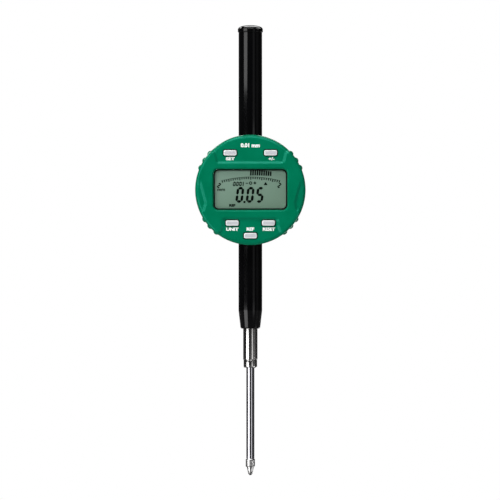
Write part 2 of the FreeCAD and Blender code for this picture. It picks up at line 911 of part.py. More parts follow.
def make_rear_cover():
    """The back plate, with the lug standing on it that a fixture's pin goes through."""
    front = s.housing_back
    profile = [
        (front, zero),
        (front, housing_radius),
        (rear_face - s.rear_cover_edge, housing_radius),
        (rear_face, housing_radius - s.rear_cover_edge),
        (rear_face, zero),
    ]
    body = turned_about_depth("rear_cover", profile, z=head_z)
    lug = sketch_on(body, "YZ_Plane", -s.lug_thickness / 2)
    tip = lug_hole_y + s.lug_radius
    foot = rear_face - s.rear_cover_thickness / 2
    outline(
        lug,
        [
            (foot, -s.lug_foot),
            (rear_face, -s.lug_foot),
            (tip, -s.lug_radius, s.lug_corner),
            (tip, s.lug_radius, s.lug_corner),
            (rear_face, s.lug_foot),
            (foot, s.lug_foot),
        ],
    )
    pad(body, lug, s.lug_thickness)
    hole = sketch_on(body, "YZ_Plane", -s.lug_thickness / 2)
    circle(hole, lug_hole_y, 0, s.lug_hole_radius)
    pocket(body, hole, s.lug_thickness, away=True)
    # Way in for the battery, with notches for the tabs of its cover
    opening = face_sketch(body, rear_face)
    circle(opening, battery_x, battery_z, cover_radius + s.cover_side_gap)
    pocket(body, opening, s.rear_cover_thickness, away=True)
    tab_end = cover_radius + s.tab_reach + s.cover_side_gap
    tab_way = s.tab_width + s.cover_side_gap * 2
    for half_turn in (0, 180):
        notch = face_sketch(body, rear_face)
        angle = s.tab_angle - s.cover_turn + half_turn
        radial_box(notch, angle, s.battery_radius, tab_end, tab_way, battery_x, battery_z)
        pocket(body, notch, s.rear_cover_thickness, away=True)
    for size, depth in (
        (s.rear_screw_radius + s.drop_gap, s.rear_cover_thickness),
        (s.rear_head_radius + s.drop_gap, s.rear_head_height),
    ):
        sketch = face_sketch(body, rear_face)
        for x, z in rear_screw_spots:
            circle(sketch, x, z, size)
        pocket(body, sketch, depth, away=True)
    return body


def make_battery_tray():
    top = cover_inside - s.cover_seal_thickness - s.drop_gap
    profile = [
        (s.tray_face, zero),
        (s.tray_face, tray_radius),
        (top, tray_radius),
        (top, tray_radius - s.tray_wall),
        (tray_inside, tray_radius - s.tray_wall),
        (tray_inside, zero),
    ]
    return turned_about_depth("battery_tray", profile, x=battery_x, z=head_z + battery_z)


def make_battery():
    edge = s.battery_edge
    profile = [
        (battery_front, zero),
        (battery_front, s.battery_radius - edge * 2),
        (battery_front + edge, s.battery_radius - edge),
        (battery_front + edge * 2, s.battery_radius),
        (battery_back, s.battery_radius),
        (battery_back, zero),
    ]
    return turned_about_depth("battery", profile, x=battery_x, z=head_z + battery_z)


def make_battery_contact():
    profile = [
        (tray_inside, zero),
        (tray_inside, s.contact_leaf_radius),
        (battery_front, s.contact_leaf_radius),
        (battery_front, zero),
    ]
    return turned_about_depth("battery_contact", profile, x=battery_x, z=head_z + battery_z)


def make_battery_cover():
    """A round cover with a coin slot. Two tabs under the back plate hold it in."""
    skirt_end = cover_inside - s.cover_skirt
    profile = [
        (rear_face, zero),
        (rear_face, cover_radius),
        (skirt_end, cover_radius),
        (skirt_end, cover_radius - s.skirt_wall),
        (cover_inside, cover_radius - s.skirt_wall),
        (cover_inside, zero),
    ]
    body = turned_about_depth("battery_cover", profile, x=battery_x, z=head_z + battery_z)
    for half_turn in (0, 180):
        tab = face_sketch(body, skirt_end + s.tab_thickness)
        inner, outer = cover_radius - s.drop_gap, cover_radius + s.tab_reach
        radial_box(tab, s.tab_angle + half_turn, inner, outer, s.tab_width)
        pad(body, tab, s.tab_thickness)
    slot = face_sketch(body, rear_face)
    rectangle(slot, 0, 0, s.coin_slot_length, s.coin_slot_width, s.coin_slot_corner)
    pocket(body, slot, s.coin_slot_depth, away=True)
    return body


def make_battery_cover_seal():
    back = cover_inside
    profile = [
        (back - s.cover_seal_thickness, tray_radius - s.cover_seal_width),
        (back - s.cover_seal_thickness, tray_radius),
        (back, tray_radius),
        (back, tray_radius - s.cover_seal_width),
    ]
    return turned_about_depth("battery_cover_seal", profile, x=battery_x, z=head_z + battery_z)


def make_reader_board():
    body = new_body("reader_board", z=head_z)
    sketch = face_sketch(body, reader_back)
    rectangle(sketch, 0, 0, s.reader_width, s.reader_height)
    for x, z in reader_post_spots:
        circle(sketch, x, z, s.small_screw_radius + s.fit_gap)
    pad(body, sketch, s.reader_thickness)
    return body


def make_reader_chip():
    body = new_body("reader_chip", z=head_z)
    sketch = face_sketch(body, reader_front)
    rectangle(sketch, 0, 0, s.reader_chip_side, s.reader_chip_side)
    pad(body, sketch, s.reader_chip_height)
    return body


def make_friction_ring():
    profile = [
        (head_back, friction_inner),
        (head_back, friction_outer),
        (housing_face + s.friction_groove, friction_outer),
        (housing_face + s.friction_groove, friction_inner),
    ]
    return turned_about_depth("friction_ring", profile, z=head_z)


def make_pivot_clip():
    """An open ring in the pivot's groove. It keeps the display on."""
    body = new_body("pivot_clip", z=head_z)
    sketch = face_sketch(body, clip_front + s.clip_thickness)
    circle(sketch, 0, 0, s.clip_radius)
    circle(sketch, 0, 0, s.clip_groove_radius + s.fit_gap)
    pad(body, sketch, s.clip_thickness)
    gap = face_sketch(body, clip_front)
    half = above(s.clip_radius, s.clip_opening / 2)
    rectangle(gap, 0, s.clip_radius, half * 2, s.clip_radius)
    pocket(body, gap, s.clip_thickness)
    return body


def make_turn_stop_pin():
    start = housing_face + s.stop_pin_depth - s.fit_gap
    end = housing_face - s.stop_pin_proud
    profile = [(start, zero), (start, s.stop_pin_radius), (end, s.stop_pin_radius), (end, zero)]
    return turned_about_depth("turn_stop_pin", profile, z=head_z - s.stop_pin_circle)


# Display head, which turns on the housing


def make_front_cover():
    """The moulded green cover, with a raised band across its face and a window in it."""
    body = new_body("front_cover_solid", z=head_z)
    disc = face_sketch(body, face)
    circle(disc, 0, 0, s.head_radius)
    pad(body, disc, head_back - face, away=True)
    rounded_edges(body, "Fillet", s.face_fillet, lies_at(face))
    # Finger grips round the edge
    start = face + s.grip_setback
    grips = face_sketch(body, start)
    grip_circle = s.head_radius + s.grip_rise - s.grip_radius
    for side in (1, -1):
        for first, step in ((s.grip_upper, s.grip_pitch), (-s.grip_lower, -s.grip_pitch)):
            for number in range(int(s.grip_count.value)):
                angle = first + step * number
                x, z = across(grip_circle, angle) * side, above(grip_circle, angle)
                circle(grips, x, z, s.grip_radius)
    pad(body, grips, head_back - start, away=True)
    # Hollow for the electronics
    hollow = face_sketch(body, head_back)
    circle(hollow, 0, 0, cover_inner)
    pocket(body, hollow, head_back - inner_face, away=True)
    # Window and button holes
    window = face_sketch(body, face)
    rectangle(window, 0, s.window_lift, window_width, window_height, s.window_corner)
    pocket(body, window, inner_face - face)
    rounded_edges(
        body,
        "Chamfer",
        s.window_bevel,
        lambda edge: lies_at(face)(edge) and edge.BoundBox.XLength < window_width.value + 1,
    )
    holes = face_sketch(body, face)
    width, height = s.button_width + s.button_gap * 2, s.button_height + s.button_gap * 2
    for x, z in button_spots.values():
        rectangle(holes, x, z, width, height, s.button_corner + s.button_gap)
    pocket(body, holes, inner_face - face)
    # Screw posts for the back plate and for the board
    for spots, size, end, length in (
        (plate_post_spots, s.plate_post_radius, plate_front, s.plate_screw_length),
        (board_post_spots, s.board_post_radius, board_front, s.small_screw_length),
    ):
        posts = face_sketch(body, inner_face)
        for x, z in spots:
            circle(posts, x, z, size)
        pad(body, posts, end - inner_face, away=True)
        drilled = face_sketch(body, end)
        for x, z in spots:
            circle(drilled, x, z, s.small_screw_radius + s.fit_gap)
        pocket(body, drilled, length, away=True)
    # The face beside the band lies lower, out to a rounded edge of its own
    floor = new_body("front_cover_floor", z=head_z)
    disc = face_sketch(floor, panel_floor)
    circle(disc, 0, 0, s.head_radius + s.low_edge_spread)
    pad(floor, disc, s.low_edge_fillet * 2, away=True)
    rounded_edges(floor, "Fillet", s.low_edge_fillet, lies_at(panel_floor))
    beside = new_body("front_cover_beside", z=head_z)
    regions = face_sketch(beside, face)
    for corners in lowered_regions():
        outline(regions, corners)
    pad(beside, regions, s.band_rise + s.face_fillet, away=True, taper=-s.band_slope)
    lowered = boolean("Cut", "front_cover_lowered", beside, floor)
    return boolean("Cut", "front_cover", body, lowered)


def lowered_regions():
    """Outlines, on the face, of the areas above, below and beside the raised band."""
    far = s.head_radius + s.band_out
    top_x, low_x = s.band_top_corner, s.band_bottom_corner
    above_band = [
        (-top_x, band_top, s.band_corner),
        (top_x, band_top, s.band_corner),
        (top_x + s.band_top_flare, far),
        (-top_x - s.band_top_flare, far),
    ]
    below_band = [
        (-low_x, -band_bottom, s.band_corner),
        (-low_x, -band_bottom - s.band_side),
        (-low_x - s.band_bottom_flare, -far),
        (low_x + s.band_bottom_flare, -far),
        (low_x, -band_bottom - s.band_side),
        (low_x, -band_bottom, s.band_corner),
    ]
    beside_band = [
        [
            (far * side, s.scoop_top),
            ((s.head_radius - s.scoop_top_inset) * side, s.scoop_top),
            ((s.head_radius - s.scoop_deep_inset) * side, -s.scoop_deep, s.scoop_corner),
            ((s.head_radius - s.scoop_low_inset) * side, -s.scoop_low),
            (far * side, -s.scoop_low),
        ]
        for side in (1, -1)
    ]
    return [above_band, below_band, *beside_band]


def make_window_lens():
    body = new_body("window_lens", z=head_z)
    width, height = window_width - s.drop_gap * 2, window_height - s.drop_gap * 2
    pane = face_sketch(body, inner_face)
    rectangle(pane, 0, s.window_lift, width, height, s.window_corner - s.drop_gap)
    pad(body, pane, inner_face - face - s.pane_sink)
    flange = face_sketch(body, flange_back)
    rectangle(flange, 0, s.window_lift, pane_width, pane_height, s.window_corner)
    pad(body, flange, s.pane_flange_thickness)
    return body


def make_window_seal():
    body = new_body("window_seal", z=head_z)
    ring = face_sketch(body, seal_back)
    rectangle(ring, 0, s.window_lift, pane_width, pane_height, s.window_corner)
    view_width, view_height = window_width - s.view_border * 2, window_height - s.view_border * 2
    rectangle(ring, 0, s.window_lift, view_width, view_height, s.view_corner)
    pad(body, ring, s.seal_thickness)
    return body


def make_display_panel():
    body = new_body("display_panel", z=head_z)
    sketch = face_sketch(body, panel_back)
    rectangle(sketch, 0, s.window_lift, panel_width, panel_height)
    pad(body, sketch, s.panel_thickness)
    return body


def make_zebra_strip(name, side):
    """A soft strip that joins the panel's contacts to the board's."""
    body = new_body(name, z=head_z)
    sketch = face_sketch(body, board_front)
    middle = panel_height / 2 - s.zebra_width / 2 - s.zebra_inset
    length = panel_width - s.zebra_inset * 2
    rectangle(sketch, 0, s.window_lift + middle * side, length, s.zebra_width)
    pad(body, sketch, s.zebra_height)
    return body


def make_display_board():
    body = new_body("display_board", z=head_z)
    sketch = face_sketch(body, board_back)
    circle(sketch, 0, 0, s.head_radius - s.board_inset)
    pad(body, sketch, s.board_thickness)
    holes = face_sketch(body, board_front)
    for x, z in plate_post_spots:
        circle(holes, x, z, s.plate_post_radius + s.turn_air)
    for x, z in board_post_spots:
        circle(holes, x, z, s.small_screw_radius + s.fit_gap)
    pocket(body, holes, s.board_thickness)
    return body


def make_display_chip():
    body = new_body("display_chip", z=head_z)
    sketch = face_sketch(body, board_front)
    rectangle(sketch, 0, 0, s.display_chip_side, s.display_chip_side)
    pad(body, sketch, s.display_chip_height)
    return body


def make_ribbon_coil():
    """A flat cable coiled in the pivot, so that the display can turn."""
    body = new_body("ribbon_coil", z=head_z)
    sketch = face_sketch(body, board_back + s.drop_gap + s.ribbon_width)
    turns = int(s.ribbon_turns.value)
    ends = []
    for skin in (zero, s.ribbon_thickness):
        arcs = []
        for half_turn in range(2 * turns + 1):
            lower = half_turn % 2
            radius = s.ribbon_inner_radius + s.ribbon_pitch * (half_turn * 0.5) + skin
            shift = s.ribbon_pitch * (lower * 0.5)
            ring = Part.Circle(Vector(shift.value, 0, 0), Vector(0, 0, 1), radius.value)
            start = math.pi * lower
            arc = sketch.addGeometry(Part.ArcOfCircle(ring, start, start + math.pi), False)
            pin_point(sketch, arc, 3, shift, zero)
            index = sketch.addConstraint(Sketcher.Constraint("Radius", arc, radius.value))
            bind(sketch, f"Constraints[{index}]", radius)
            for end in (1, 2):
                sketch.addConstraint(Sketcher.Constraint("PointOnObject", arc, end, -1))
            arcs.append(arc)
        ends.append(((arcs[0], 1), (arcs[-1], 2)))
    for inside, outside in zip(*ends):
        corners = []
        for arc, end in (inside, outside):
            point = sketch.getPoint(arc, end)
            corners.append(Vector(point.x, point.y, 0))
        line = sketch.addGeometry(Part.LineSegment(*corners), False)
        sketch.addConstraint(Sketcher.Constraint("Coincident", line, 1, *inside))
        sketch.addConstraint(Sketcher.Constraint("Coincident", line, 2, *outside))
    pad(body, sketch, s.ribbon_width)
    return body


def make_display_back():
    """The plate that closes the display. It turns on the housing's pivot."""
    body = new_body("display_back", z=head_z)
    sketch = face_sketch(body, head_back)
    circle(sketch, 0, 0, cover_inner - s.drop_gap)
    circle(sketch, 0, 0, s.pivot_radius + s.slide_gap)
    pad(body, sketch, s.back_plate)
    for size, depth in (
        (s.small_screw_radius + s.fit_gap, s.back_plate),
        (s.small_head_radius + s.drop_gap, s.small_head_height),
    ):
        holes = face_sketch(body, head_back)
        for x, z in plate_post_spots:
            circle(holes, x, z, size)
        pocket(body, holes, depth, away=True)
    # Track for the stop pin, open all round but for a land at the top
    track = sketch_on(body, "YZ_Plane")
    half = s.stop_pin_radius + s.drop_gap
    near, far = -s.stop_pin_circle + half, -s.stop_pin_circle - half
    floor = head_back - s.stop_pin_proud
    outline(track, [(floor, near), (head_back, near), (head_back, far), (floor, far)])
    revolve("Groove", body, track, "H_Axis", (s.stop_turn + s.stop_spare) * 2)
    return body


def make_switch(name, x, z):
    body = new_body(name, x=x, z=head_z + z)
    base = face_sketch(body, board_front)
    rectangle(base, 0, 0, s.switch_width, s.switch_height)
    pad(body, base, s.switch_thickness)
    dome = face_sketch(body, board_front - s.switch_thickness)
    circle(dome, 0, 0, s.switch_dome_radius)
    pad(body, dome, s.switch_dome)
    return body


def make_button(name, x, z):
    """A bevelled key with a flange behind the face and a foot over its switch."""
    body = new_body(name, x=x, z=head_z + z)
    key = face_sketch(body, inner_face)
    rectangle(key, 0, 0, s.button_width, s.button_height, s.button_corner)
    pad(body, key, inner_face - button_front)
    rounded_edges(body, "Chamfer", s.button_bevel, lies_at(button_front))
    flange = face_sketch(body, inner_face)
    edge = s.button_flange * 2
    rectangle(
        flange, 0, 0, s.button_width + edge, s.button_height + edge, s.button_corner + s.button_flange
    )
    pad(body, flange, s.button_flange_thickness, away=True)
    foot = face_sketch(body, inner_face + s.button_flange_thickness)
    rectangle(foot, 0, 0, s.plunger_width, s.plunger_height)
    reach = switch_tip - s.button_travel - s.button_spare - inner_face - s.button_flange_thickness
    pad(body, foot, reach, away=True)
    return body


# Places that several pieces share
button_spots = {
    "upper_left": (-s.top_button_x, top_button_z),
    "upper_right": (s.top_button_x, top_button_z),
    "lower_left": (-s.low_button_x, -low_button_z),
    "lower_right": (s.low_button_x, -low_button_z),
    "bottom": (zero, -end_button_z),
}
plate_post_spots = four_ways(
    across(plate_post_circle, s.plate_post_angle), above(plate_post_circle, s.plate_post_angle)
)
board_post_spots = [(board_post_circle, zero), (-board_post_circle, zero), (zero, board_post_circle)]
rear_screw_spots = four_ways(
    across(rear_screw_circle, s.rear_screw_angle), above(rear_screw_circle, s.rear_screw_angle)
)
reader_post_spots = four_ways(s.reader_post_x, s.reader_post_z)
small_screw = (s.small_screw_radius, s.small_screw_length, s.small_head_radius, s.small_head_height)
plate_screw = (s.small_screw_radius, s.plate_screw_length, s.small_head_radius, s.small_head_height)
rear_screw = (s.rear_screw_radius, s.rear_screw_length, s.rear_head_radius, s.rear_head_height)

pieces = [
    # Fixed
    make_frame_housing(),
    make_rear_cover(),
    screw_set("rear_cover_screws", rear_screw_spots, rear_face - s.rear_head_height, *rear_screw),
    make_upper_tube(),
    make_tube_cap(),
    make_lower_sleeve(),
    make_stem(),
    make_lower_bush(),
    make_stop_bumper(),
    make_guide_rail(),
    make_reader_board(),
    make_reader_chip(),
    screw_set("reader_board_screws", reader_post_spots, reader_back, *small_screw),
    make_return_spring(),
    make_battery_tray(),
    make_battery(),
    make_battery_contact(),
    make_friction_ring(),
    make_pivot_clip(),
    make_turn_stop_pin(),
    # On the spindle
    make_spindle_rod(),
    make_contact_point(),
    make_contact_ball(),
    make_scale_strip(),
    make_stop_collar(),
    make_guide_peg(),
    make_guide_ring(),
    # In the turning display
    make_front_cover(),
    make_window_lens(),
    make_window_seal(),
    make_display_panel(),
    make_zebra_strip("zebra_strip_upper", 1),
    make_zebra_strip("zebra_strip_lower", -1),
    make_display_board(),
    make_display_chip(),
    make_ribbon_coil(),
    screw_set("display_board_screws", board_post_spots, board_back, *small_screw),
    make_display_back(),
    screw_set("display_back_screws", plate_post_spots, head_back - s.small_head_height, *plate_screw),
    # Behind the battery
    make_battery_cover(),
    make_battery_cover_seal(),
]
for place, (x, z) in button_spots.items():
    pieces.append(make_switch(f"switch_{place}", x, z))
    pieces.append(make_button(f"button_{place}", x, z))

doc.recompute()
for thing in doc.Objects:
    if "Invalid" in thing.State or "Error" in thing.State:
        raise RuntimeError(f"{thing.Label} failed: {thing.State}")
os.makedirs("parts", exist_ok=True)
for piece in pieces:
    if piece.Shape.isNull() or not piece.Shape.isValid():
        raise RuntimeError(f"{piece.Label} has no valid shape")
for piece in pieces:
    piece.Shape.exportStep(f"parts/{piece.Label}.step")
print(f"{len(pieces)} pieces written")
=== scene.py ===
import math

import bmesh
import bpy
import numpy as np
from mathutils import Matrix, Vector
from mathutils.geometry import delaunay_2d_cdt


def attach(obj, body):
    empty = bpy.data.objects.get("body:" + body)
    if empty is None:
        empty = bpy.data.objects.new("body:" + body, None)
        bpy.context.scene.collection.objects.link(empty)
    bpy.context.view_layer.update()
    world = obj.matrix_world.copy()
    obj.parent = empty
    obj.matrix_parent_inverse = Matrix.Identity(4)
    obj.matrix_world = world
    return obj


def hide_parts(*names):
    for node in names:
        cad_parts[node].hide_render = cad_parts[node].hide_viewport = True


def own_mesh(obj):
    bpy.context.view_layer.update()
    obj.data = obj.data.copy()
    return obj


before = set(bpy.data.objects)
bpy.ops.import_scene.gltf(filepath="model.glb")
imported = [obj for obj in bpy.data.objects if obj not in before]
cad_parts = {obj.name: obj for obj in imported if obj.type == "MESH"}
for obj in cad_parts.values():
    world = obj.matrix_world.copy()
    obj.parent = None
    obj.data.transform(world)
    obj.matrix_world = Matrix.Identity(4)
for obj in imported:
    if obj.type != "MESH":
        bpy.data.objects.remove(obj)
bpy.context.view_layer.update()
print("frame loaded")

# Lengths are in millimetres here and become metres when a mesh is made
metre = 0.001
fullTurn = 2 * math.pi
headZ = 86.25


# Outlines


# Angles that share a full turn evenly.
def turned(count):
    return np.arange(count) / count * fullTurn


# Flat points at these angles: radius (cos a, sin a).
def polar(radius, angles):
    return np.stack([radius * np.cos(angles), radius * np.sin(angles)], axis=1)


# Points round a circle: centre + radius (cos a, sin a).
def ring(radius, count, centre=(0, 0)):
    return polar(radius, turned(count)) + np.array(centre)


# Points round a box with round corners, grown by the same distance all round.
# They start in the middle of the right side and keep to the box's own corner centres.
def roundedBox(width, height, corner, count, centre=(0, 0), grow=0):
    halfWidth, halfHeight = width / 2 - corner, height / 2 - corner
    reach = corner + grow
    arc = reach * math.pi / 2
    sides = [2 * halfHeight, arc, 2 * halfWidth, arc] * 2
    starts = np.concatenate([[0], np.cumsum(sides)])
    where = (np.arange(count) / count * starts[-1] + halfHeight) % starts[-1]
    corners = [(1, 1), (-1, 1), (-1, -1), (1, -1)]
    points = np.zeros((count, 2))
    for number, (sideX, sideY) in enumerate(corners):
        straight = (where >= starts[2 * number]) & (where < starts[2 * number + 1])
        along = where[straight] - starts[2 * number]
        bend = (where >= starts[2 * number + 1]) & (where < starts[2 * number + 2])
        angle = (where[bend] - starts[2 * number + 1]) / reach + number * math.pi / 2
        if number % 2 == 0:
            points[straight, 0] = (halfWidth + reach) * sideX
            points[straight, 1] = (along - halfHeight) * sideX
        else:
            points[straight, 1] = (halfHeight + reach) * sideY
            points[straight, 0] = (halfWidth - along) * sideY
        points[bend, 0] = halfWidth * sideX + reach * np.cos(angle)
        points[bend, 1] = halfHeight * sideY + reach * np.sin(angle)
    return points + np.array(centre)


# Distance to a rounded box, below zero inside:
# |max(q, 0)| + min(max(qx, qz), 0) - corner, where q = |p| - half size + corner.
def boxDistance(x, z, width, height, corner):
    qx = np.abs(x) - width / 2 + corner
    qz = np.abs(z) - height / 2 + corner
    outside = np.hypot(np.maximum(qx, 0), np.maximum(qz, 0))
    return outside + np.minimum(np.maximum(qx, qz), 0) - corner


# Distance to the sides of a polygon, above zero inside it:
# the least distance to any side, with its sign from how many sides a line crosses.
def polygonDistance(x, z, corners):
    least = np.full(x.shape, 1e9)
    inside = np.zeros(x.shape, bool)
    for (ax, az), (bx, bz) in zip(corners, corners[1:] + corners[:1]):
        dx, dz = bx - ax, bz - az
        along = np.clip(((x - ax) * dx + (z - az) * dz) / (dx * dx + dz * dz), 0, 1)
        least = np.minimum(least, np.hypot(x - ax - along * dx, z - az - along * dz))
        crosses = (az > z) != (bz > z)
        rise = dz if abs(dz) > 1e-9 else 1e-9
        inside ^= crosses & (x < (z - az) * dx / rise + ax)
    return np.where(inside, least, -least)


# The lesser of two values with a round join: (a + b - sqrt((a - b)^2 + blur^2)) / 2.
def softLeast(a, b, blur):
    return (a + b - np.sqrt((a - b) ** 2 + blur**2)) / 2


# The greater of two values with a round join: (a + b + sqrt((a - b)^2 + blur^2)) / 2.
def softMost(a, b, blur):
    return (a + b + np.sqrt((a - b) ** 2 + blur**2)) / 2


# Meshes


# Points and faces in millimetres, gathered for one mesh.
class Shape:
    def __init__(self):
        self.points = []
        self.faces = []
        self.materials = []
        self.count = 0

    def add(self, points, faces, material=0):
        points = np.asarray(points, float)
        self.points.append(points)
        start = self.count
        for face in faces:
            self.faces.append([int(corner) + start for corner in face])
        self.materials += [material] * len(faces)
        self.count += len(points)
        return start

    # Joins rows of points, each a closed loop, with four-sided faces.
    def rows(self, rows, material=0, closedRows=False):
        rows = np.asarray(rows, float)
        height, width = rows.shape[:2]
        number = np.arange(height * width).reshape(height, width)
        upper = np.roll(number, -1, axis=0) if closedRows else number[1:]
        lower = number if closedRows else number[:-1]
        corners = [lower, np.roll(lower, -1, axis=1), np.roll(upper, -1, axis=1), upper]
        faces = np.stack([c.ravel() for c in corners], axis=1)
        return self.add(rows.reshape(-1, 3), faces, material)

    # Joined rows whose first and last are filled in.
    def filled(self, rows):
        self.rows(rows)
        for row in (rows[0], rows[-1]):
            self.add(row, [list(range(len(row)))])

    def piece(self, name, body, materials, replaced=(), sharp=35):
        points = np.concatenate(self.points) * metre
        mesh = bpy.data.meshes.new(name)
        mesh.from_pydata(points.tolist(), [], self.faces)
        mesh.validate()
        for material in materials:
            mesh.materials.append(material)
        if len(mesh.polygons) == len(self.materials):
            mesh.polygons.foreach_set("material_index", self.materials)
        welded = mergeClose(mesh)
        thing = bpy.data.objects.new(name, welded)
        bpy.context.scene.collection.objects.link(thing)
        welded.shade_smooth()
        welded.set_sharp_from_angle(angle=math.radians(sharp))
        if replaced:
            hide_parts(*replaced)
        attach(thing, body)
        return thing


# Joins points of a mesh that lie at one place and turns its faces outwards.
def mergeClose(mesh, distance=2e-7):
    work = bmesh.new()
    work.from_mesh(mesh)
    bmesh.ops.remove_doubles(work, verts=work.verts, dist=distance)
    bmesh.ops.dissolve_degenerate(work, edges=work.edges, dist=1e-8)
    bmesh.ops.recalc_face_normals(work, faces=work.faces)
    work.to_mesh(mesh)
    work.free()
    return mesh


# Rows of a turned form about Z, from a list of (radius, z).
def aboutZ(profile, count=96, centre=(0, 0)):
    flat = ring(1, count)
    rows = np.zeros((len(profile), count, 3))
    for number, (radius, z) in enumerate(profile):
        rows[number, :, :2] = flat * radius + np.array(centre)
        rows[number, :, 2] = z
    return rows


# Rows of a turned form about Y, from a list of (radius, y).
def aboutY(profile, count=128, centre=(0, headZ)):
    flat = ring(1, count)
    rows = np.zeros((len(profile), count, 3))
    for number, (radius, y) in enumerate(profile):
        rows[number, :, 0] = flat[:, 0] * radius + centre[0]
        rows[number, :, 2] = flat[:, 1] * radius + centre[1]
        rows[number, :, 1] = y
    return rows


# A profile with some corners made round. radii holds one radius for each corner.
# Each is an arc that touches both sides: centre = corner + bisector r / sin(half angle).
def rounded(profile, radii, steps=6):
    result = []
    last = len(profile) - 1
    for number, (corner, radius) in enumerate(zip(profile, radii)):
        if radius == 0 or number in (0, last):
            result.append(tuple(corner))
            continue
        here = Vector(corner)
        before = (Vector(profile[number - 1]) - here).normalized()
        after = (Vector(profile[number + 1]) - here).normalized()
        half = before.angle(after) / 2
        start = here + before * radius / math.tan(half)
        end = here + after * radius / math.tan(half)
        centre = here + (before + after).normalized() * radius / math.sin(half)
        for step in range(steps + 1):
            spoke = (start - centre).lerp(end - centre, step / steps).normalized()
            result.append(tuple(centre + spoke * radius))
    return result


# Flat triangles that keep the sides of some loops: a constrained Delaunay net of their
# points and of points inside. The middles of the triangles come with it.
def flatNet(loops, inside=()):
    points, edges = [], []
    for loop in loops:
        start, count = len(points), len(loop)
        points += [tuple(point) for point in loop]
        edges += [(start + i, start + (i + 1) % count) for i in range(count)]
    points += [tuple(point) for point in inside]
    found = delaunay_2d_cdt([Vector(point) for point in points], edges, [], 2, 1e-6)
    flat = np.array([tuple(point) for point in found[0]])
    triangles = np.array([tuple(face) for face in found[2] if len(face) == 3])
    middles = flat[triangles].mean(axis=1)
    return flat, triangles, middles[:, 0], middles[:, 1]


# Flat triangles that fill an outline round some holes.
def cut2d(outer, holes):
    flat, triangles, x, z = flatNet([outer, *holes])
    solid = polygonDistance(x, z, [tuple(point) for point in outer]) > 0
    for hole in holes:
        solid &= polygonDistance(x, z, [tuple(point) for point in hole]) < 0
    return flat, triangles[solid]


# Flat points (x, z) at one depth or a depth each, as points in space.
def standing(flat, depth, centre=(0, headZ)):
    flat = np.asarray(flat)
    points = np.zeros((len(flat), 3))
    points[:, 0] = flat[:, 0] + centre[0]
    points[:, 1] = depth
    points[:, 2] = flat[:, 1] + centre[1]
    return points


# Steps over a quarter round: size (1 - sin a) inwards and size (1 - cos a) down.
def quarter(size, steps):
    turns = np.linspace(0, math.pi / 2, steps + 1)
    return [(size * (1 - math.sin(turn)), size * (1 - math.cos(turn))) for turn in turns]


# A flat plate with holes. outline and holes are functions of how far they are grown.
# Its edges are quarter rounds: grown by -e (1 - sin a), sunk by e (1 - cos a).
def plate(shape, outline, holes, front, back, edge=0.0, holeEdge=0.0, steps=4):
    frontHoles = [hole(holeEdge) for hole in holes]
    for depth, side in ((front, 1), (back, -1)):
        flat, triangles = cut2d(outline(-edge), frontHoles)
        shape.add(standing(flat, depth), triangles)
    walls = [(outline, -1, edge)] + [(hole, 1, holeEdge) for hole in holes]
    for loop, way, size in walls:
        bend = quarter(size, steps)
        rows = [standing(loop(way * inset), front + sunk) for inset, sunk in bend]
        rows += [standing(loop(way * inset), back - sunk) for inset, sunk in bend[::-1]]
        shape.rows(rows)


# Shaders


# A screen colour, 0 to 255, as the light that a shader takes.
def linear(red, green, blue):
    values = []
    for part in (red, green, blue):
        share = part / 255
        values.append(share / 12.92 if share <= 0.04045 else ((share + 0.055) / 1.055) ** 2.4)
    return (*values, 1.0)


# A number that a shader works out, written as sums of other such numbers.
class Value:
    def __init__(self, look, socket):
        self.look = look
        self.socket = socket

    def joined(self, kind, first, second):
        made = self.look.node("ShaderNodeMath", {"operation": kind}, {0: first, 1: second})
        return Value(self.look, made.outputs[0])

    def __add__(self, other):
        return self.joined("ADD", self, other)

    def __radd__(self, other):
        return self.joined("ADD", other, self)

    def __sub__(self, other):
        return self.joined("SUBTRACT", self, other)

    def __rsub__(self, other):
        return self.joined("SUBTRACT", other, self)

    def __mul__(self, other):
        return self.joined("MULTIPLY", self, other)

    def least(self, other):
        return self.joined("MINIMUM", self, other)

    def most(self, other):
        return self.joined("MAXIMUM", self, other)

    # The sine of this angle.
    def wave(self):
        return self.joined("SINE", self, 0.0)

    # 0 below low, 1 above high and a smooth step between them.
    def within(self, low, high):
        settings = {"interpolation_type": "SMOOTHSTEP"}
        inputs = {"Value": self, "From Min": low, "From Max": high}
        made = self.look.node("ShaderNodeMapRange", settings, inputs)
        return Value(self.look, made.outputs["Result"])


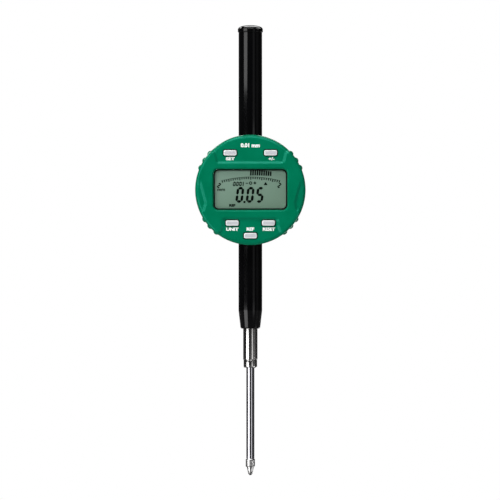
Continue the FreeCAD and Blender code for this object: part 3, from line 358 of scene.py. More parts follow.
# A material and the ways to build its shader.
class Look:
    def __init__(self, name):
        self.material = bpy.data.materials.new(name)
        self.material.use_nodes = True
        self.tree = self.material.node_tree
        self.tree.nodes.clear()
        self.place = None

    def node(self, kind, settings=None, inputs=None):
        made = self.tree.nodes.new(kind)
        for name, value in (settings or {}).items():
            setattr(made, name, value)
        for name, value in (inputs or {}).items():
            if isinstance(value, Value):
                self.tree.links.new(value.socket, made.inputs[name])
            else:
                made.inputs[name].default_value = value
        return made

    # The object's own coordinates, in metres.
    def spot(self):
        if self.place is None:
            made = self.node("ShaderNodeTexCoord")
            self.place = Value(self, made.outputs["Object"])
        return self.place

    def axes(self):
        made = self.node("ShaderNodeSeparateXYZ", None, {"Vector": self.spot()})
        return [Value(self, made.outputs[axis]) for axis in ("X", "Y", "Z")]

    # The object's coordinates times a scale of its own along each axis.
    def stretched(self, x, y, z):
        inputs = {0: self.spot(), 1: (x, y, z)}
        made = self.node("ShaderNodeVectorMath", {"operation": "MULTIPLY"}, inputs)
        return Value(self, made.outputs["Vector"])

    # Soft noise, 0 to 1, with this many cells to the metre.
    def noise(self, scale, detail=2.0, rough=0.5, where=None):
        inputs = {"Scale": scale, "Detail": detail, "Roughness": rough}
        inputs["Vector"] = where or self.spot()
        made = self.node("ShaderNodeTexNoise", None, inputs)
        return Value(self, made.outputs["Fac"])

    # Distance to the nearest of many scattered points.
    def cells(self, scale):
        inputs = {"Scale": scale, "Vector": self.spot()}
        made = self.node("ShaderNodeTexVoronoi", {"feature": "F1"}, inputs)
        return Value(self, made.outputs["Distance"])

    # first (1 - share) + second share, for colours.
    def mixed(self, share, first, second):
        made = self.node("ShaderNodeMix", {"data_type": "RGBA"})
        for socket, value in ((made.inputs[0], share), (made.inputs[6], first), (made.inputs[7], second)):
            if isinstance(value, Value):
                self.tree.links.new(value.socket, socket)
            else:
                socket.default_value = value
        return Value(self, made.outputs[2])

    def bump(self, height, distance, strength=1.0):
        inputs = {"Height": height, "Distance": distance, "Strength": strength}
        made = self.node("ShaderNodeBump", None, inputs)
        return Value(self, made.outputs["Normal"])

    # The finished surface. Names of inputs have underscores for their spaces.
    def surface(self, **inputs):
        named = {name.replace("_", " "): value for name, value in inputs.items()}
        made = self.node("ShaderNodeBsdfPrincipled", None, named)
        output = self.node("ShaderNodeOutputMaterial")
        self.tree.links.new(made.outputs[0], output.inputs[0])
        return self.material


# Moulded plastic: fine grain, a faint cloud in its colour and softly varied shine.
def mouldedPlastic(name, base, light, roughness=0.36, grain=0.00001, specular=0.5, tint=(1, 1, 1)):
    look = Look(name)
    cloud = look.noise(90, 3)
    fine = look.noise(5200, 2)
    spots = look.cells(3800)
    return look.surface(
        Base_Color=look.mixed(cloud.within(0.3, 0.7), base, light),
        Roughness=roughness + (look.noise(700, 2) - 0.5) * 0.1 + (fine - 0.5) * 0.06,
        Specular_IOR_Level=specular,
        Specular_Tint=(*tint, 1),
        Normal=look.bump(fine + spots * 0.6, grain, 0.7),
    )


# Bright steel that was ground as it turned: fine rings along Z, cut a little unevenly.
def turnedSteel(name, base, dark, roughness=0.2, grooves=16000, depth=0.0000015):
    look = Look(name)
    rings = look.noise(1, 3, 0.6, look.stretched(30, 30, grooves))
    broad = look.noise(1, 2, 0.5, look.stretched(60, 60, 300))
    return look.surface(
        Base_Color=look.mixed(broad.within(0.25, 0.75), base, dark),
        Metallic=1.0,
        Roughness=roughness + (rings - 0.5) * 0.05 + (broad - 0.5) * 0.03,
        Normal=look.bump(rings, depth, 0.5),
    )


# Black coated metal: a thin smooth coat with a faint orange-peel surface.
def coatedMetal(name, base, light, roughness=0.3):
    look = Look(name)
    peel = look.noise(900, 1)
    cloud = look.noise(60, 2)
    return look.surface(
        Base_Color=look.mixed(cloud.within(0.3, 0.7), base, light),
        Roughness=roughness + (cloud - 0.5) * 0.06 + (peel - 0.5) * 0.05,
        Specular_IOR_Level=0.33,
        Normal=look.bump(peel, 0.0000006, 0.5),
    )


greenPlastic = mouldedPlastic(
    "green_plastic", linear(0, 108, 75), linear(2, 114, 81), 0.2, 0.000004, 0.34, (0.1, 1, 0.84)
)
blackPlastic = mouldedPlastic(
    "black_plastic", linear(15, 15, 17), linear(20, 20, 22), 0.42, 0.000012
)
innerPlastic = mouldedPlastic("inner_plastic", linear(58, 60, 62), linear(66, 68, 70), 0.5)
softRubber = mouldedPlastic("soft_rubber", linear(7, 7, 8), linear(12, 12, 13), 0.62, 0.00002, 0.2)
keyRim = mouldedPlastic("key_rim", linear(226, 230, 230), linear(232, 236, 236), 0.3, 0.000003)
keyTop = mouldedPlastic("key_top", linear(184, 186, 190), linear(192, 193, 198), 0.42, 0.000006)
blackMetal = coatedMetal("black_metal", linear(4, 4, 5), linear(7, 7, 8), 0.1)
stemSteel = turnedSteel("bright_steel", linear(214, 213, 211), linear(198, 197, 195), 0.15)
rodSteel = turnedSteel("rod_steel", linear(222, 222, 228), linear(212, 212, 219), 0.09, 22000, 0.00000005)
screwSteel = turnedSteel("screw_steel", linear(72, 72, 76), linear(60, 60, 64), 0.32)
contactSteel = turnedSteel("contact_steel", linear(226, 225, 224), linear(208, 208, 208), 0.32)


# The liquid crystal cell: a grey-green field with a painted light falloff that makes it lighter towards its
# top left corner, and a fine brushed reflector behind it.
def glassPanel():
    look = Look("screen_glass")
    x, y, z = look.axes()
    # Painted light: slope grows from the lower right to the upper left, where the field is painted as more
    # brightly lit
    slope = (z - (headZ - 9) * metre) * (1000 / 34) - x * (1000 / 90) + 0.2
    brushed = look.noise(1, 2, 0.5, look.stretched(1500, 1500, 9000))
    # The field's two colours carry that painted light: lighter and bluer at the upper left, darker at the
    # lower right
    field = look.mixed(slope.within(0, 1), linear(116, 143, 126), linear(131, 158, 144))
    speck = look.mixed((brushed - 0.5) * 0.35 + 0.3, field, linear(110, 135, 119))
    return look.surface(
        Base_Color=speck,
        Roughness=0.3 + (brushed - 0.5) * 0.12,
        Specular_IOR_Level=0.4,
        Normal=look.bump(brushed, 0.000002, 0.4),
    )


# The cell's dark segments, a shade greener where less light is held back.
def darkMarks():
    look = Look("dark_marks")
    depth = look.noise(260, 2)
    return look.surface(
        Base_Color=look.mixed(depth.within(0.2, 0.8), linear(0, 4, 2), linear(5, 9, 7)),
        Roughness=0.35 + (depth - 0.5) * 0.1,
        Specular_IOR_Level=0.05,
    )


# White printed legends: slightly rough ink with tiny pinholes.
def whitePrint():
    look = Look("white_print")
    ink = look.noise(4000, 3)
    return look.surface(
        Base_Color=look.mixed(ink.within(0.2, 0.6), linear(234, 238, 236), linear(246, 248, 247)),
        Roughness=0.5 + (ink - 0.5) * 0.15,
        Normal=look.bump(ink, 0.000004, 0.5),
    )


# A clear moulded pane. It reflects as such plastic does, R = R0 + (1 - R0)(1 - cos a)^5,
# with slow waves in its surface and a few fine scratches.
def clearPane():
    look = Look("clear_window")
    waves = look.noise(120, 2)
    scratch = look.noise(1, 2, 0.5, look.stretched(300, 300, 5000)).within(0.68, 0.74)
    normal = look.bump(waves + scratch * 0.02, 0.00001, 0.3)
    share = Value(look, look.node("ShaderNodeFresnel", None, {"IOR": 1.49, "Normal": normal}).outputs[0])
    shine = look.node(
        "ShaderNodeBsdfPrincipled",
        None,
        {
            "Base Color": (0.02, 0.02, 0.02, 1),
            "Roughness": 0.04 + scratch * 0.1,
            "Specular IOR Level": 1.0,
            "Metallic": 0.0,
            "Coat Weight": 1.0,
            "Normal": normal,
        },
    )
    clear = look.node("ShaderNodeBsdfTransparent", None, {"Color": (0.985, 0.99, 0.985, 1)})
    behind = Value(look, look.node("ShaderNodeNewGeometry").outputs["Backfacing"])
    mix = look.node("ShaderNodeMixShader", None, {0: share * (1 - behind) * 0.8})
    look.tree.links.new(clear.outputs[0], mix.inputs[1])
    look.tree.links.new(shine.outputs[0], mix.inputs[2])
    output = look.node("ShaderNodeOutputMaterial")
    look.tree.links.new(mix.outputs[0], output.inputs[0])
    return look.material


# Solder mask over copper tracks: a dark green field with slightly raised paths.
def circuitBoard():
    look = Look("circuit_board")
    x, y, z = look.axes()
    tracks = (x * 5200).wave().most((z * 4100 + (x * 900).wave() * 1.5).wave()).within(0.55, 0.8)
    grain = look.noise(3000, 2)
    return look.surface(
        Base_Color=look.mixed(tracks, linear(12, 58, 38), linear(34, 98, 62)),
        Roughness=0.34 + (grain - 0.5) * 0.1,
        Normal=look.bump(tracks + grain * 0.1, 0.00003, 0.5),
    )


# Rolled metal with a fine grain that runs along X.
def plainMetal(name, base, dark, roughness):
    look = Look(name)
    grain = look.noise(1, 3, 0.6, look.stretched(400, 9000, 9000))
    return look.surface(
        Base_Color=look.mixed(grain.within(0.3, 0.7), base, dark),
        Metallic=1.0,
        Roughness=roughness + (grain - 0.5) * 0.15,
        Normal=look.bump(grain, 0.000003, 0.6),
    )


lcdGlass = glassPanel()
darkInk = darkMarks()
whiteInk = whitePrint()
clearPlastic = clearPane()
boardLook = circuitBoard()
chipLook = mouldedPlastic("chip_resin", linear(24, 24, 26), linear(30, 30, 32), 0.5)
switchLook = mouldedPlastic("switch_plastic", linear(30, 30, 32), linear(36, 36, 38), 0.45)
filmLook = mouldedPlastic("cable_film", linear(150, 88, 30), linear(168, 102, 38), 0.3)
scaleGlass = mouldedPlastic("scale_glass", linear(70, 88, 84), linear(88, 104, 98), 0.15)
brassLook = plainMetal("contact_brass", linear(214, 178, 96), linear(190, 152, 74), 0.3)
cellSteel = plainMetal("battery_steel", linear(190, 192, 196), linear(168, 170, 176), 0.3)
springLook = plainMetal("spring_steel", linear(150, 152, 156), linear(128, 130, 134), 0.3)
ballLook = plainMetal("hard_ball", linear(92, 94, 98), linear(78, 80, 84), 0.12)
print("materials made")


# Front cover

cover = {
    "radius": 30.8,
    "face": -19.5,
    "rim": 1.8,
    "lowRim": 0.5,
    "rise": 1.0,
    "slope": 1.43,
    "soft": 0.3,
    "back": -7.8,
    "inner": -17.0,
    "hollow": 28.8,
    "start": 28.2,
    "around": 720,
}
window = {"width": 41.2, "height": 22.7, "corner": 2.8, "lift": 0.2, "bevel": 0.8, "sink": 0.8}
keys = {
    "upper_left": (-11.3, 20.6),
    "upper_right": (11.3, 20.6),
    "lower_left": (-10.1, -18.5),
    "lower_right": (10.1, -18.5),
    "bottom": (0, -25.6),
}
keySize = {"width": 7.5, "height": 3.3, "corner": 1.0, "front": -19.4, "bevel": 0.55, "slack": 0.15}
keyGap = 0.4
keyHole = (keySize["width"] + 2 * keyGap, keySize["height"] + 2 * keyGap, keySize["corner"] + keyGap)
grips = {"radius": 1.93, "rise": 0.84, "start": -16.6, "round": 0.7}
gripAngles = [24, 33, 42, -33, -42, -51]

upperRegion = [(-19, 14.5), (19, 14.5), (24.6, 36.8), (-24.6, 36.8)]
lowerRegion = [(-16.2, -15.4), (-16.2, -20), (-21.8, -36.8), (21.8, -36.8), (16.2, -20), (16.2, -15.4)]
sideRegion = [(36.8, 7.6), (28.2, 7.6), (24.1, -7.4), (26.2, -14.6), (36.8, -14.6)]


# Distance inside a polygon whose corners are round: the polygon pulled in by the
# radius and grown again, inside = radius + distance to the smaller polygon.
def roundedInside(x, z, corners, radius):
    inner = polygonDistance(x, z, shrunk(corners, radius))
    return inner + radius


# A polygon with each side moved inwards.
def shrunk(corners, distance):
    points = [Vector(c) for c in corners]
    area = sum(a.x * b.y - b.x * a.y for a, b in zip(points, points[1:] + points[:1]))
    way = 1 if area > 0 else -1
    result = []
    for number, here in enumerate(points):
        before = (here - points[number - 1]).normalized()
        after = (points[(number + 1) % len(points)] - here).normalized()
        inward = Vector((-before.y, before.x)) * way
        inwardNext = Vector((-after.y, after.x)) * way
        share = distance / (1 + inward.dot(inwardNext))
        result.append(tuple(here + (inward + inwardNext) * share))
    return result


# How far the face lies below the band: in each region the depth grows as the distance
# inside its edge over the slope, up to the full rise, with round joins.
def lowered(x, z):
    nearest = np.full(np.shape(x), -1e9)
    mirrored = [(-a, b) for a, b in sideRegion]
    for region, corner in ((upperRegion, 2.4), (lowerRegion, 2.4), (sideRegion, 2.2), (mirrored, 2.2)):
        nearest = np.maximum(nearest, roundedInside(x, z, region, corner))
    slope, rise, soft = cover["slope"], cover["rise"], cover["soft"]
    depth = softMost(nearest / slope, 0, soft * 0.6)
    return np.clip(softLeast(depth, rise, soft * 0.6), 0, rise)


def windowOutline(count, grow=0.0):
    return roundedBox(
        window["width"], window["height"], window["corner"], count, (0, window["lift"]), grow
    )


# Distance to the window's edge, below zero in the window.
def windowAway(x, z):
    return boxDistance(x, z - window["lift"], window["width"], window["height"], window["corner"])


# Distance to the nearest key hole's edge, below zero in a hole.
def keyAway(x, z):
    return np.min([boxDistance(x - keyX, z - keyZ, *keyHole) for keyX, keyZ in keys.values()], axis=0)


# The depth of the sloped edge round the window, sink (1 - distance / bevel).
def windowEdge(x, z):
    slope = window["sink"] * (1 - windowAway(x, z) / window["bevel"])
    return softMost(slope, 0, 0.12)


# A small round at each key hole, deepest at the hole's own edge: 0.2 (1 - sqrt(1 - 0.95 s^2)),
# where s falls from 1 at the edge to 0 at 0.3 mm from it.
def keyEdge(x, z):
    share = np.clip(1 - keyAway(x, z) / 0.3, 0, 1)
    return 0.2 * (1 - np.sqrt(1 - share**2 * 0.95))


# Depth of the cover's face at a place, towards the back.
def faceDepth(x, z):
    return cover["face"] + lowered(x, z) + windowEdge(x, z) + keyEdge(x, z)


# Radius of the cover's side. Each grip is a small circle near the edge:
# c cos(d) + sqrt(r^2 - c^2 sin(d)^2), which fades in over a quarter round.
def sideRadius(angle, depth):
    base = np.full(np.shape(angle), cover["radius"])
    away = (depth - grips["start"]) / grips["round"]
    share = 0 if away <= 0 else math.sqrt(1 - (1 - min(away, 1)) ** 2)
    if share == 0:
        return base
    circle = cover["radius"] + grips["rise"] - grips["radius"]
    result = base.copy()
    for tilt in gripAngles:
        for place in (tilt, 180 - tilt):
            off = angle - math.radians(place)
            under = grips["radius"] ** 2 - (circle * np.sin(off)) ** 2
            bump = circle * np.cos(off) + np.sqrt(np.maximum(under, 0))
            bump = np.where((under > 0) & (np.cos(off) > 0), bump, 0)
            result = np.maximum(result, base + (bump - base) * share)
    return result


def makeFrontCover():
    shape = Shape()
    around = cover["around"]
    rimStart = ring(cover["start"], around)
    windowLoop = windowOutline(420)
    keyLoops = [roundedBox(*keyHole, 120, place) for place in keys.values()]
    # Loops beside each edge, so that its slope is cut by straight rows
    guides = [windowOutline(420, grow) for grow in (0.3, 0.62, 0.85, 1.1)]
    guides += [roundedBox(*keyHole, 120, place, grow) for place in keys.values() for grow in (0.1, 0.2, 0.3)]
    flat, triangles = faceNet(rimStart, [windowLoop, *keyLoops], guides)
    depth = faceDepth(flat[:, 0], flat[:, 1])
    shape.add(standing(flat, depth), triangles)
    # Down the window and the key holes
    for loop in (windowLoop, *keyLoops):
        top = standing(loop, faceDepth(loop[:, 0], loop[:, 1]))
        bottom = standing(loop, cover["inner"])
        shape.rows([top, (top + bottom) / 2, bottom])
    # Over the rim and down the side: r = R - q + q sin a, depth = level + q (1 - cos a)
    angles = turned(around)
    level = lowered(rimStart[:, 0], rimStart[:, 1])
    size = cover["rim"] + cover["lowRim"] * level
    rows = [standing(rimStart, faceDepth(rimStart[:, 0], rimStart[:, 1]))]
    for inset, sunk in quarter(size, 12):
        rows.append(standing(polar(cover["radius"] - inset, angles), cover["face"] + level + sunk))
    start = grips["start"]
    depths = [start + more for more in (0.02, 0.08, 0.2, 0.35, 0.5, 0.7)]
    for depth in depths + [-15.0, -13.0, -11.0, -9.4, -8.1]:
        rows.append(standing(polar(sideRadius(angles, depth), angles), depth))
    radius = sideRadius(angles, cover["back"])
    for inset, depth in ((0.09, -7.89), (0.3, cover["back"])):
        edge = radius - inset
        rows.append(standing(polar(edge, angles), depth))
    rows.append(standing(ring(cover["hollow"], around), cover["back"]))
    rows.append(standing(ring(cover["hollow"], around), cover["inner"]))
    shape.rows(rows)
    flat, triangles = cut2d(ring(cover["hollow"], around), [windowLoop, *keyLoops])
    shape.add(standing(flat, cover["inner"]), triangles)
    piece = shape.piece("frontCover", "display", [greenPlastic], ["front_cover"], 40)
    setFaceNormals(piece)
    return piece


# The net of the cover's face, with rows of points along its edges and slopes and a
# triangular grid between them.
def faceNet(outer, holes, guides):
    spacing = 0.42
    reach = cover["start"]
    rowGap = spacing * math.sqrt(3) / 2
    count = int(reach * 2 / spacing) + 2
    column, row = np.meshgrid(np.arange(count), np.arange(int(reach * 2 / rowGap) + 2))
    x = (-reach + (column + 0.5 * (row % 2)) * spacing).ravel()
    z = (-reach + row * rowGap).ravel()
    keep = (np.hypot(x, z) < reach - 0.25) & (windowAway(x, z) > 1.25) & (keyAway(x, z) > 0.45)
    inside = [point for loop in guides for point in loop] + list(zip(x[keep], z[keep]))
    flat, triangles, x, z = flatNet([outer, *holes], inside)
    return flat, triangles[(windowAway(x, z) > 0) & (keyAway(x, z) > -0.002)]


# Shades the face from the slope of its formula: normal = (dy/dx, -1, dy/dz).
def setFaceNormals(piece):
    mesh = piece.data
    count = len(mesh.vertices)
    places = np.zeros(count * 3)
    mesh.vertices.foreach_get("co", places)
    places = places.reshape(count, 3) / metre
    x, z = places[:, 0], places[:, 2] - headZ
    step = 0.02
    slopeX = (faceDepth(x + step, z) - faceDepth(x - step, z)) / (2 * step)
    slopeZ = (faceDepth(x, z + step) - faceDepth(x, z - step)) / (2 * step)
    normals = np.stack([slopeX, -np.ones(count), slopeZ], axis=1)
    normals /= np.linalg.norm(normals, axis=1)[:, None]
    onFace = np.abs(places[:, 1] - faceDepth(x, z)) < 0.002
    onFace &= np.hypot(x, z) < cover["start"] - 0.1
    onFace &= (windowAway(x, z) > 0.05) & (keyAway(x, z) > 0.05)
    normals[~onFace] = 0
    mesh.normals_split_custom_set_from_vertices(normals.tolist())


makeFrontCover()
print("front cover made")


# Window, seal and panel

pane = {"front": -19.2, "back": -17.0, "gap": 0.1, "edge": 0.2}
seal = {"view": (39.7, 21.2, 2.2), "back": -15.5, "edge": 0.1, "viewEdge": 0.15}
panel = {"rear": (44, 26, 0.4), "front": (39.6, 21.1, 2.1), "face": -16.9, "middle": -15.5, "back": -13.5}


# A function that gives the window's outline, grown by base and some more.
def grownWindow(base):
    def outline(grow):
        return windowOutline(160, base + grow)

    return outline


def makePane():
    shape = Shape()
    plate(shape, grownWindow(-pane["gap"]), [], pane["front"], pane["back"], pane["edge"])
    return shape.piece("windowPane", "display", [clearPlastic], ["window_lens"], 40)


# A function that gives a rounded box in the window's middle, grown by some more.
def boxOutline(size, count):
    def outline(grow):
        return roundedBox(*size, count, (0, window["lift"]), grow)

    return outline


# The black frame between the pane and the panel, seen as a dark line round the view.
def makeSeal():
    shape = Shape()
    view = boxOutline(seal["view"], 160)
    front = pane["back"] + 0.02
    plate(shape, grownWindow(-pane["gap"]), [view], front, seal["back"], seal["edge"], seal["viewEdge"])
    return shape.piece("windowSeal", "display", [softRubber], ["window_seal"], 40)


# The cell: a wide rear glass, and a front glass that stands inside the seal.
def makePanel():
    shape = Shape()
    plate(shape, boxOutline(panel["rear"], 80), [], panel["middle"], panel["back"], 0.1)
    plate(shape, boxOutline(panel["front"], 160), [], panel["face"], panel["middle"] + 0.05, 0.05)
    return shape.piece("displayPanel", "display", [lcdGlass], ["display_panel"], 40)


makePane()
makeSeal()
makePanel()


# What the panel shows

marksDepth = -16.92
legendDepth = -18.52


# Flat dark shapes on the panel, written in the panel's own millimetres.
class Flat:
    def __init__(self, depth):
        self.shape = Shape()
        self.depth = depth

    def patch(self, corners):
        self.shape.add(standing(corners, self.depth), [list(range(len(corners)))[::-1]])

    def bar(self, x, z, width, height, slant=0.0):
        low, high = z - height / 2, z + height / 2
        shift = slant * height / 2
        self.patch(
            [
                (x - width / 2 - shift, low),
                (x + width / 2 - shift, low),
                (x + width / 2 + shift, high),
                (x - width / 2 + shift, high),
            ]
        )


# The seven strokes of a figure: top, upper right, lower right, bottom, lower left, upper left, middle
strokes = {
    "0": "abcdef",
    "1": "bc",
    "2": "abged",
    "5": "afgcd",
}


# A seven-stroke figure. Each stroke has pointed ends that meet its neighbours at 45 degrees.
# A place is sheared by its height: x + slant z.
def figure(flat, text, x, z, width, height, thick, slant=0.12, gap=0.12):
    half, middle = width / 2 - thick / 2, height / 2 - thick / 2
    ends = {
        "a": ((-half, middle), (half, middle)),
        "b": ((half, middle), (half, 0)),
        "c": ((half, 0), (half, -middle)),
        "d": ((-half, -middle), (half, -middle)),
        "e": ((-half, 0), (-half, -middle)),
        "f": ((-half, middle), (-half, 0)),
        "g": ((-half, 0), (half, 0)),
    }
    for name in strokes[text]:
        (ax, az), (bx, bz) = ends[name]
        length = math.hypot(bx - ax, bz - az)
        ux, uz = (bx - ax) / length, (bz - az) / length
        vx, vz = -uz * thick / 2, ux * thick / 2
        tip = thick / 2
        points = []
        for along, side in (
            (gap, 0),
            (gap + tip * 0.9, -1),
            (length - gap - tip * 0.9, -1),
            (length - gap, 0),
            (length - gap - tip * 0.9, 1),
            (gap + tip * 0.9, 1),
        ):
            px = ax + ux * along + vx * side
            pz = az + uz * along + vz * side
            points.append((x + px + slant * pz, z + pz))
        flat.patch(points)


# A place on the face from its place in the view: 0.56 mm for each step.
def photoPlace(px, py):
    return (px - 250.4) * 0.56, (190.1 - py) * 0.56


def makeMarks():
    flat = Flat(marksDepth)
    # The large reading, the ends of the scale and the small reading
    large, end, small = (4.2, 8.8, 1.42), (1.95, 2.85, 0.7, 0.3, 0.02), (1.65, 2.6, 0.68, 0.12, 0.0)
    for figureText, px, py, size in (
        ("0", 239.9, 195.1, large),
        ("0", 250.2, 195.1, large),
        ("5", 259.9, 195.1, large),
        ("2", 219.2, 185.8, end),
        ("2", 279.3, 185.8, end),
        ("0", 234.4, 184.2, small),
        ("0", 237.5, 184.2, small),
        ("0", 240.6, 184.2, small),
    ):
        figure(flat, figureText, *photoPlace(px, py), *size)
    # The large point, the small one, the small figure 1, a minus sign and a plus sign
    for px, py, size in (
        (244.5, 202.2, (1.15, 1.15, 0.12)),
        (235.9, 186.2, (0.34, 0.34)),
        (243.3, 184.2, (0.55, 2.4, 0.12)),
        (246.9, 183.5, (1.3, 0.5)),
        (254.9, 183.3, (1.6, 0.6)),
        (254.9, 183.3, (0.6, 1.6)),
    ):
        flat.bar(*photoPlace(px, py), *size)
    # The curved scale and its ticks
    ends = [photoPlace(221.5, 181.3), photoPlace(250.3, 177.2), photoPlace(280.2, 180.8)]
    half = (ends[2][0] - ends[0][0]) / 2
    sag = ends[1][1] - (ends[0][1] + ends[2][1]) / 2
    centreX = (ends[0][0] + ends[2][0]) / 2
    radius = (half**2 + sag**2) / (2 * sag)
    centreZ = ends[1][1] - radius
    reach = math.asin(half / radius)
    turns = np.linspace(-reach, reach, 81)
    halfTick = 0.29
    for first, second in zip(turns, turns[1:]):
        corners = []
        for turn, size in ((first, -0.1), (second, -0.1), (second, 0.1), (first, 0.1)):
            grown = radius + size
            corners.append((centreX + grown * math.sin(turn), centreZ + grown * math.cos(turn)))
        flat.patch(corners)
    for number, turn in enumerate(turns[1::3]):
        length = 1.6 if number % 5 == 3 else 1.25
        corners = []
        for side, inset in ((-1, 0.0), (1, 0.0), (1, length), (-1, length)):
            grown = radius - inset
            x = centreX + grown * math.sin(turn) + side * halfTick * math.cos(turn)
            z = centreZ + grown * math.cos(turn) - side * halfTick * math.sin(turn)
            corners.append((x, z))
        flat.patch(corners[::-1])
    # The row of bars above the scale follows the scale's curve
    for number in range(10):
        px = 250.9 + number * 2.2
        flat.bar(*photoPlace(px, 173.1 + 0.02 * number**1.7), 0.88, 3.1 - 0.06 * number, 0.05)
    # The ring and the pointer
    x, z = photoPlace(250.7, 183.4)
    circleOut, circleIn = ring(0.95, 24, (x, z)), ring(0.42, 24, (x, z))
    for number in range(24):
        following = (number + 1) % 24
        flat.patch([circleIn[number], circleOut[number], circleOut[following], circleIn[following]][::-1])
    x, z = photoPlace(265.6, 183.9)
    flat.patch([(x - 1.15, z - 0.8), (x + 1.15, z - 0.8), (x, z + 0.95)])
    return flat.shape.piece("displayMarks", "display", [darkInk])


# Flat lettering that stands on the face, centred on its place.
def makeText(text, place, height, depth, material, name, bold=0.0, wide=1.0):
    curve = bpy.data.curves.new(name, "FONT")
    curve.body = text
    curve.align_x = "CENTER"
    curve.align_y = "CENTER"
    curve.resolution_u = 6
    curve.offset = bold
    thing = bpy.data.objects.new(name, curve)
    mesh = bpy.data.meshes.new_from_object(thing)
    bpy.data.objects.remove(thing)
    count = len(mesh.vertices)
    points = np.zeros(count * 3)
    mesh.vertices.foreach_get("co", points)
    points = points.reshape(count, 3)
    low, high = points.min(axis=0), points.max(axis=0)
    scale = height / (high[1] - low[1])
    middle = (low + high) / 2
    placed = np.zeros((count, 3))
    placed[:, 0] = (points[:, 0] - middle[0]) * scale * wide + place[0]
    placed[:, 1] = depth
    placed[:, 2] = (points[:, 1] - middle[1]) * scale + place[1] + headZ
    mesh.vertices.foreach_set("co", (placed * metre).ravel())
    mesh.materials.clear()
    mesh.materials.append(material)
    label = bpy.data.objects.new(name, mesh)
    bpy.context.scene.collection.objects.link(label)
    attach(label, "display")


makeMarks()
makeText("mm", photoPlace(221.4, 190.1), 1.3, marksDepth, darkInk, "unitMark", bold=0.03, wide=1.15)
makeText("REF", photoPlace(232.4, 205.6), 1.5, marksDepth, darkInk, "modeMark", bold=0.07, wide=1.2)

legends = {
    "topLegend": ("0.01 mm", photoPlace(250.3, 145.8), 2.3, 1.04),
    "setLegend": ("SET", photoPlace(230.5, 159.2), 1.85, 1.35),
    "signLegend": ("+/-", photoPlace(271.4, 159.2), 1.85, 1.2),
    "unitLegend": ("UNIT", photoPlace(232.5, 229.3), 1.85, 1.25),
    "resetLegend": ("RESET", photoPlace(268.8, 229.3), 1.85, 1.1),
    "refLegend": ("REF", photoPlace(250.4, 229.2), 1.85, 1.15),
}
for name, (text, place, height, wide) in legends.items():
    makeText(text, place, height, legendDepth, whiteInk, name, bold=0.05, wide=wide)
print("panel and legends made")


# Keys


# A key with a wide sloped border round a flat top that lies slightly lower.
def makeKey(name, x, z):
    shape = Shape()
    width, height, corner = keySize["width"], keySize["height"], keySize["corner"]
    front, bevel, slack = keySize["front"], keySize["bevel"], keySize["slack"]

    def loop(grow, depth):
        return standing(roundedBox(width, height, corner, 96, (x, z), grow - slack), depth)

    rows = [
        loop(0, cover["inner"] - 0.4),
        loop(0, front + 0.62),
        loop(-0.03, front + 0.42),
        loop(-0.1, front + 0.26),
        loop(-0.24, front + 0.12),
        loop(-0.42, front + 0.03),
        loop(-bevel, front),
    ]
    shape.rows(rows)
    topRows = [loop(-bevel, front), loop(-bevel - 0.05, front + 0.03), loop(-bevel - 0.16, front + 0.04)]
    shape.rows(topRows, 1)
    top = roundedBox(width, height, corner, 96, (x, z), -bevel - 0.16 - slack)
    flat, triangles = cut2d(top, [])
    shape.add(standing(flat, front + 0.04), triangles, 1)
    base = roundedBox(width, height, corner, 96, (x, z), -slack)
    flat, triangles = cut2d(base, [])
    shape.add(standing(flat, cover["inner"] - 0.4), triangles)
    return shape.piece(f"key_{name}", f"key_{name}", [keyRim, keyTop], [f"button_{name}"], 45)


for name, (x, z) in keys.items():
    makeKey(name, x, z)
print("keys made")


# Back plate of the display, housing and rear cover


# A function that gives a circle grown by some more.
def circleOf(radius, count, centre=(0, 0)):
    def outline(grow):
        return ring(radius + grow, count, centre)

    return outline


housing = {"radius": 29.4, "front": -7.5, "back": 7.5, "edge": 0.8, "wall": 27.6, "rim": 26.9}
pivot = {"radius": 11.0, "groove": 10.2, "bore": 7.0, "front": -10.8}


backPlate = {"radius": 28.7, "bore": 11.05, "front": -9.4, "back": -7.8, "edge": 0.15, "boreEdge": 0.1}


def makeBackPlate():
    shape = Shape()
    radius, bore, front, back = (backPlate[k] for k in ("radius", "bore", "front", "back"))
    outline, hole = circleOf(radius, 256), circleOf(bore, 128)
    plate(shape, outline, [hole], front, back, backPlate["edge"], backPlate["boreEdge"])
    return shape.piece("backPlate", "display", [blackPlastic], ["display_back"], 40)


# The round body behind the display, with a pivot in front and a boss above and below.
def makeHousing():
    shape = Shape()
    radius, edge, front, back, wall, rim = (
        housing[k] for k in ("radius", "edge", "front", "back", "wall", "rim")
    )
    outer, groove, bore, tip = (pivot[k] for k in ("radius", "groove", "bore", "front"))
    profile = [
        (rim, back),
        (radius - 0.15, back),
        (radius, back - 0.15),
        (radius, front),
        (outer, front),
        (outer, -9.5),
        (groove, -9.5),
        (groove, -10.2),
        (outer, -10.2),
        (outer, tip),
        (bore, tip),
        (bore, front + 1.5),
        (wall, front + 1.5),
        (wall, back),
        (rim, back),
    ]
    radii = [0, 0, 0, edge, 0, 0, 0, 0, 0, 0, 0, 0, 0, 0, 0]
    shape.rows(aboutY(rounded(profile, radii), 256))
    for way in (1, -1):
        boss = [(5.4, 24.0), (7.0, 24.0), (7.0, 29.25), (6.65, 29.6), (5.4, 29.6)]
        rows = aboutZ([(r, headZ + way * z) for r, z in boss], 96)
        shape.rows(rows, closedRows=True)
    return shape.piece("housing", "frame", [blackPlastic], ["frame_housing"], 35)


rear = {"front": 7.5, "back": 9.5, "edge": 0.7, "radius": 29.4, "holeEdge": 0.12}
lugSize = {"half": 2.5, "holeY": 15.3, "outer": 5.6, "bore": 3.25, "soft": 0.45, "steps": 5}
battery = (-14.49, -6.605)
rearScrews = [tuple(place) for place in polar(25.4, np.radians([60, 120, 240, 300]))]


opening = {"radius": 11.6, "notch": 12.5, "half": 2.2, "places": (84.8, 264.8)}
lid = {"radius": 11.4, "back": 9.5, "inner": 6.8, "edge": 0.3}
coinSlot = {"size": (13.0, 1.8, 0.8), "edge": 0.1, "depth": 0.9}


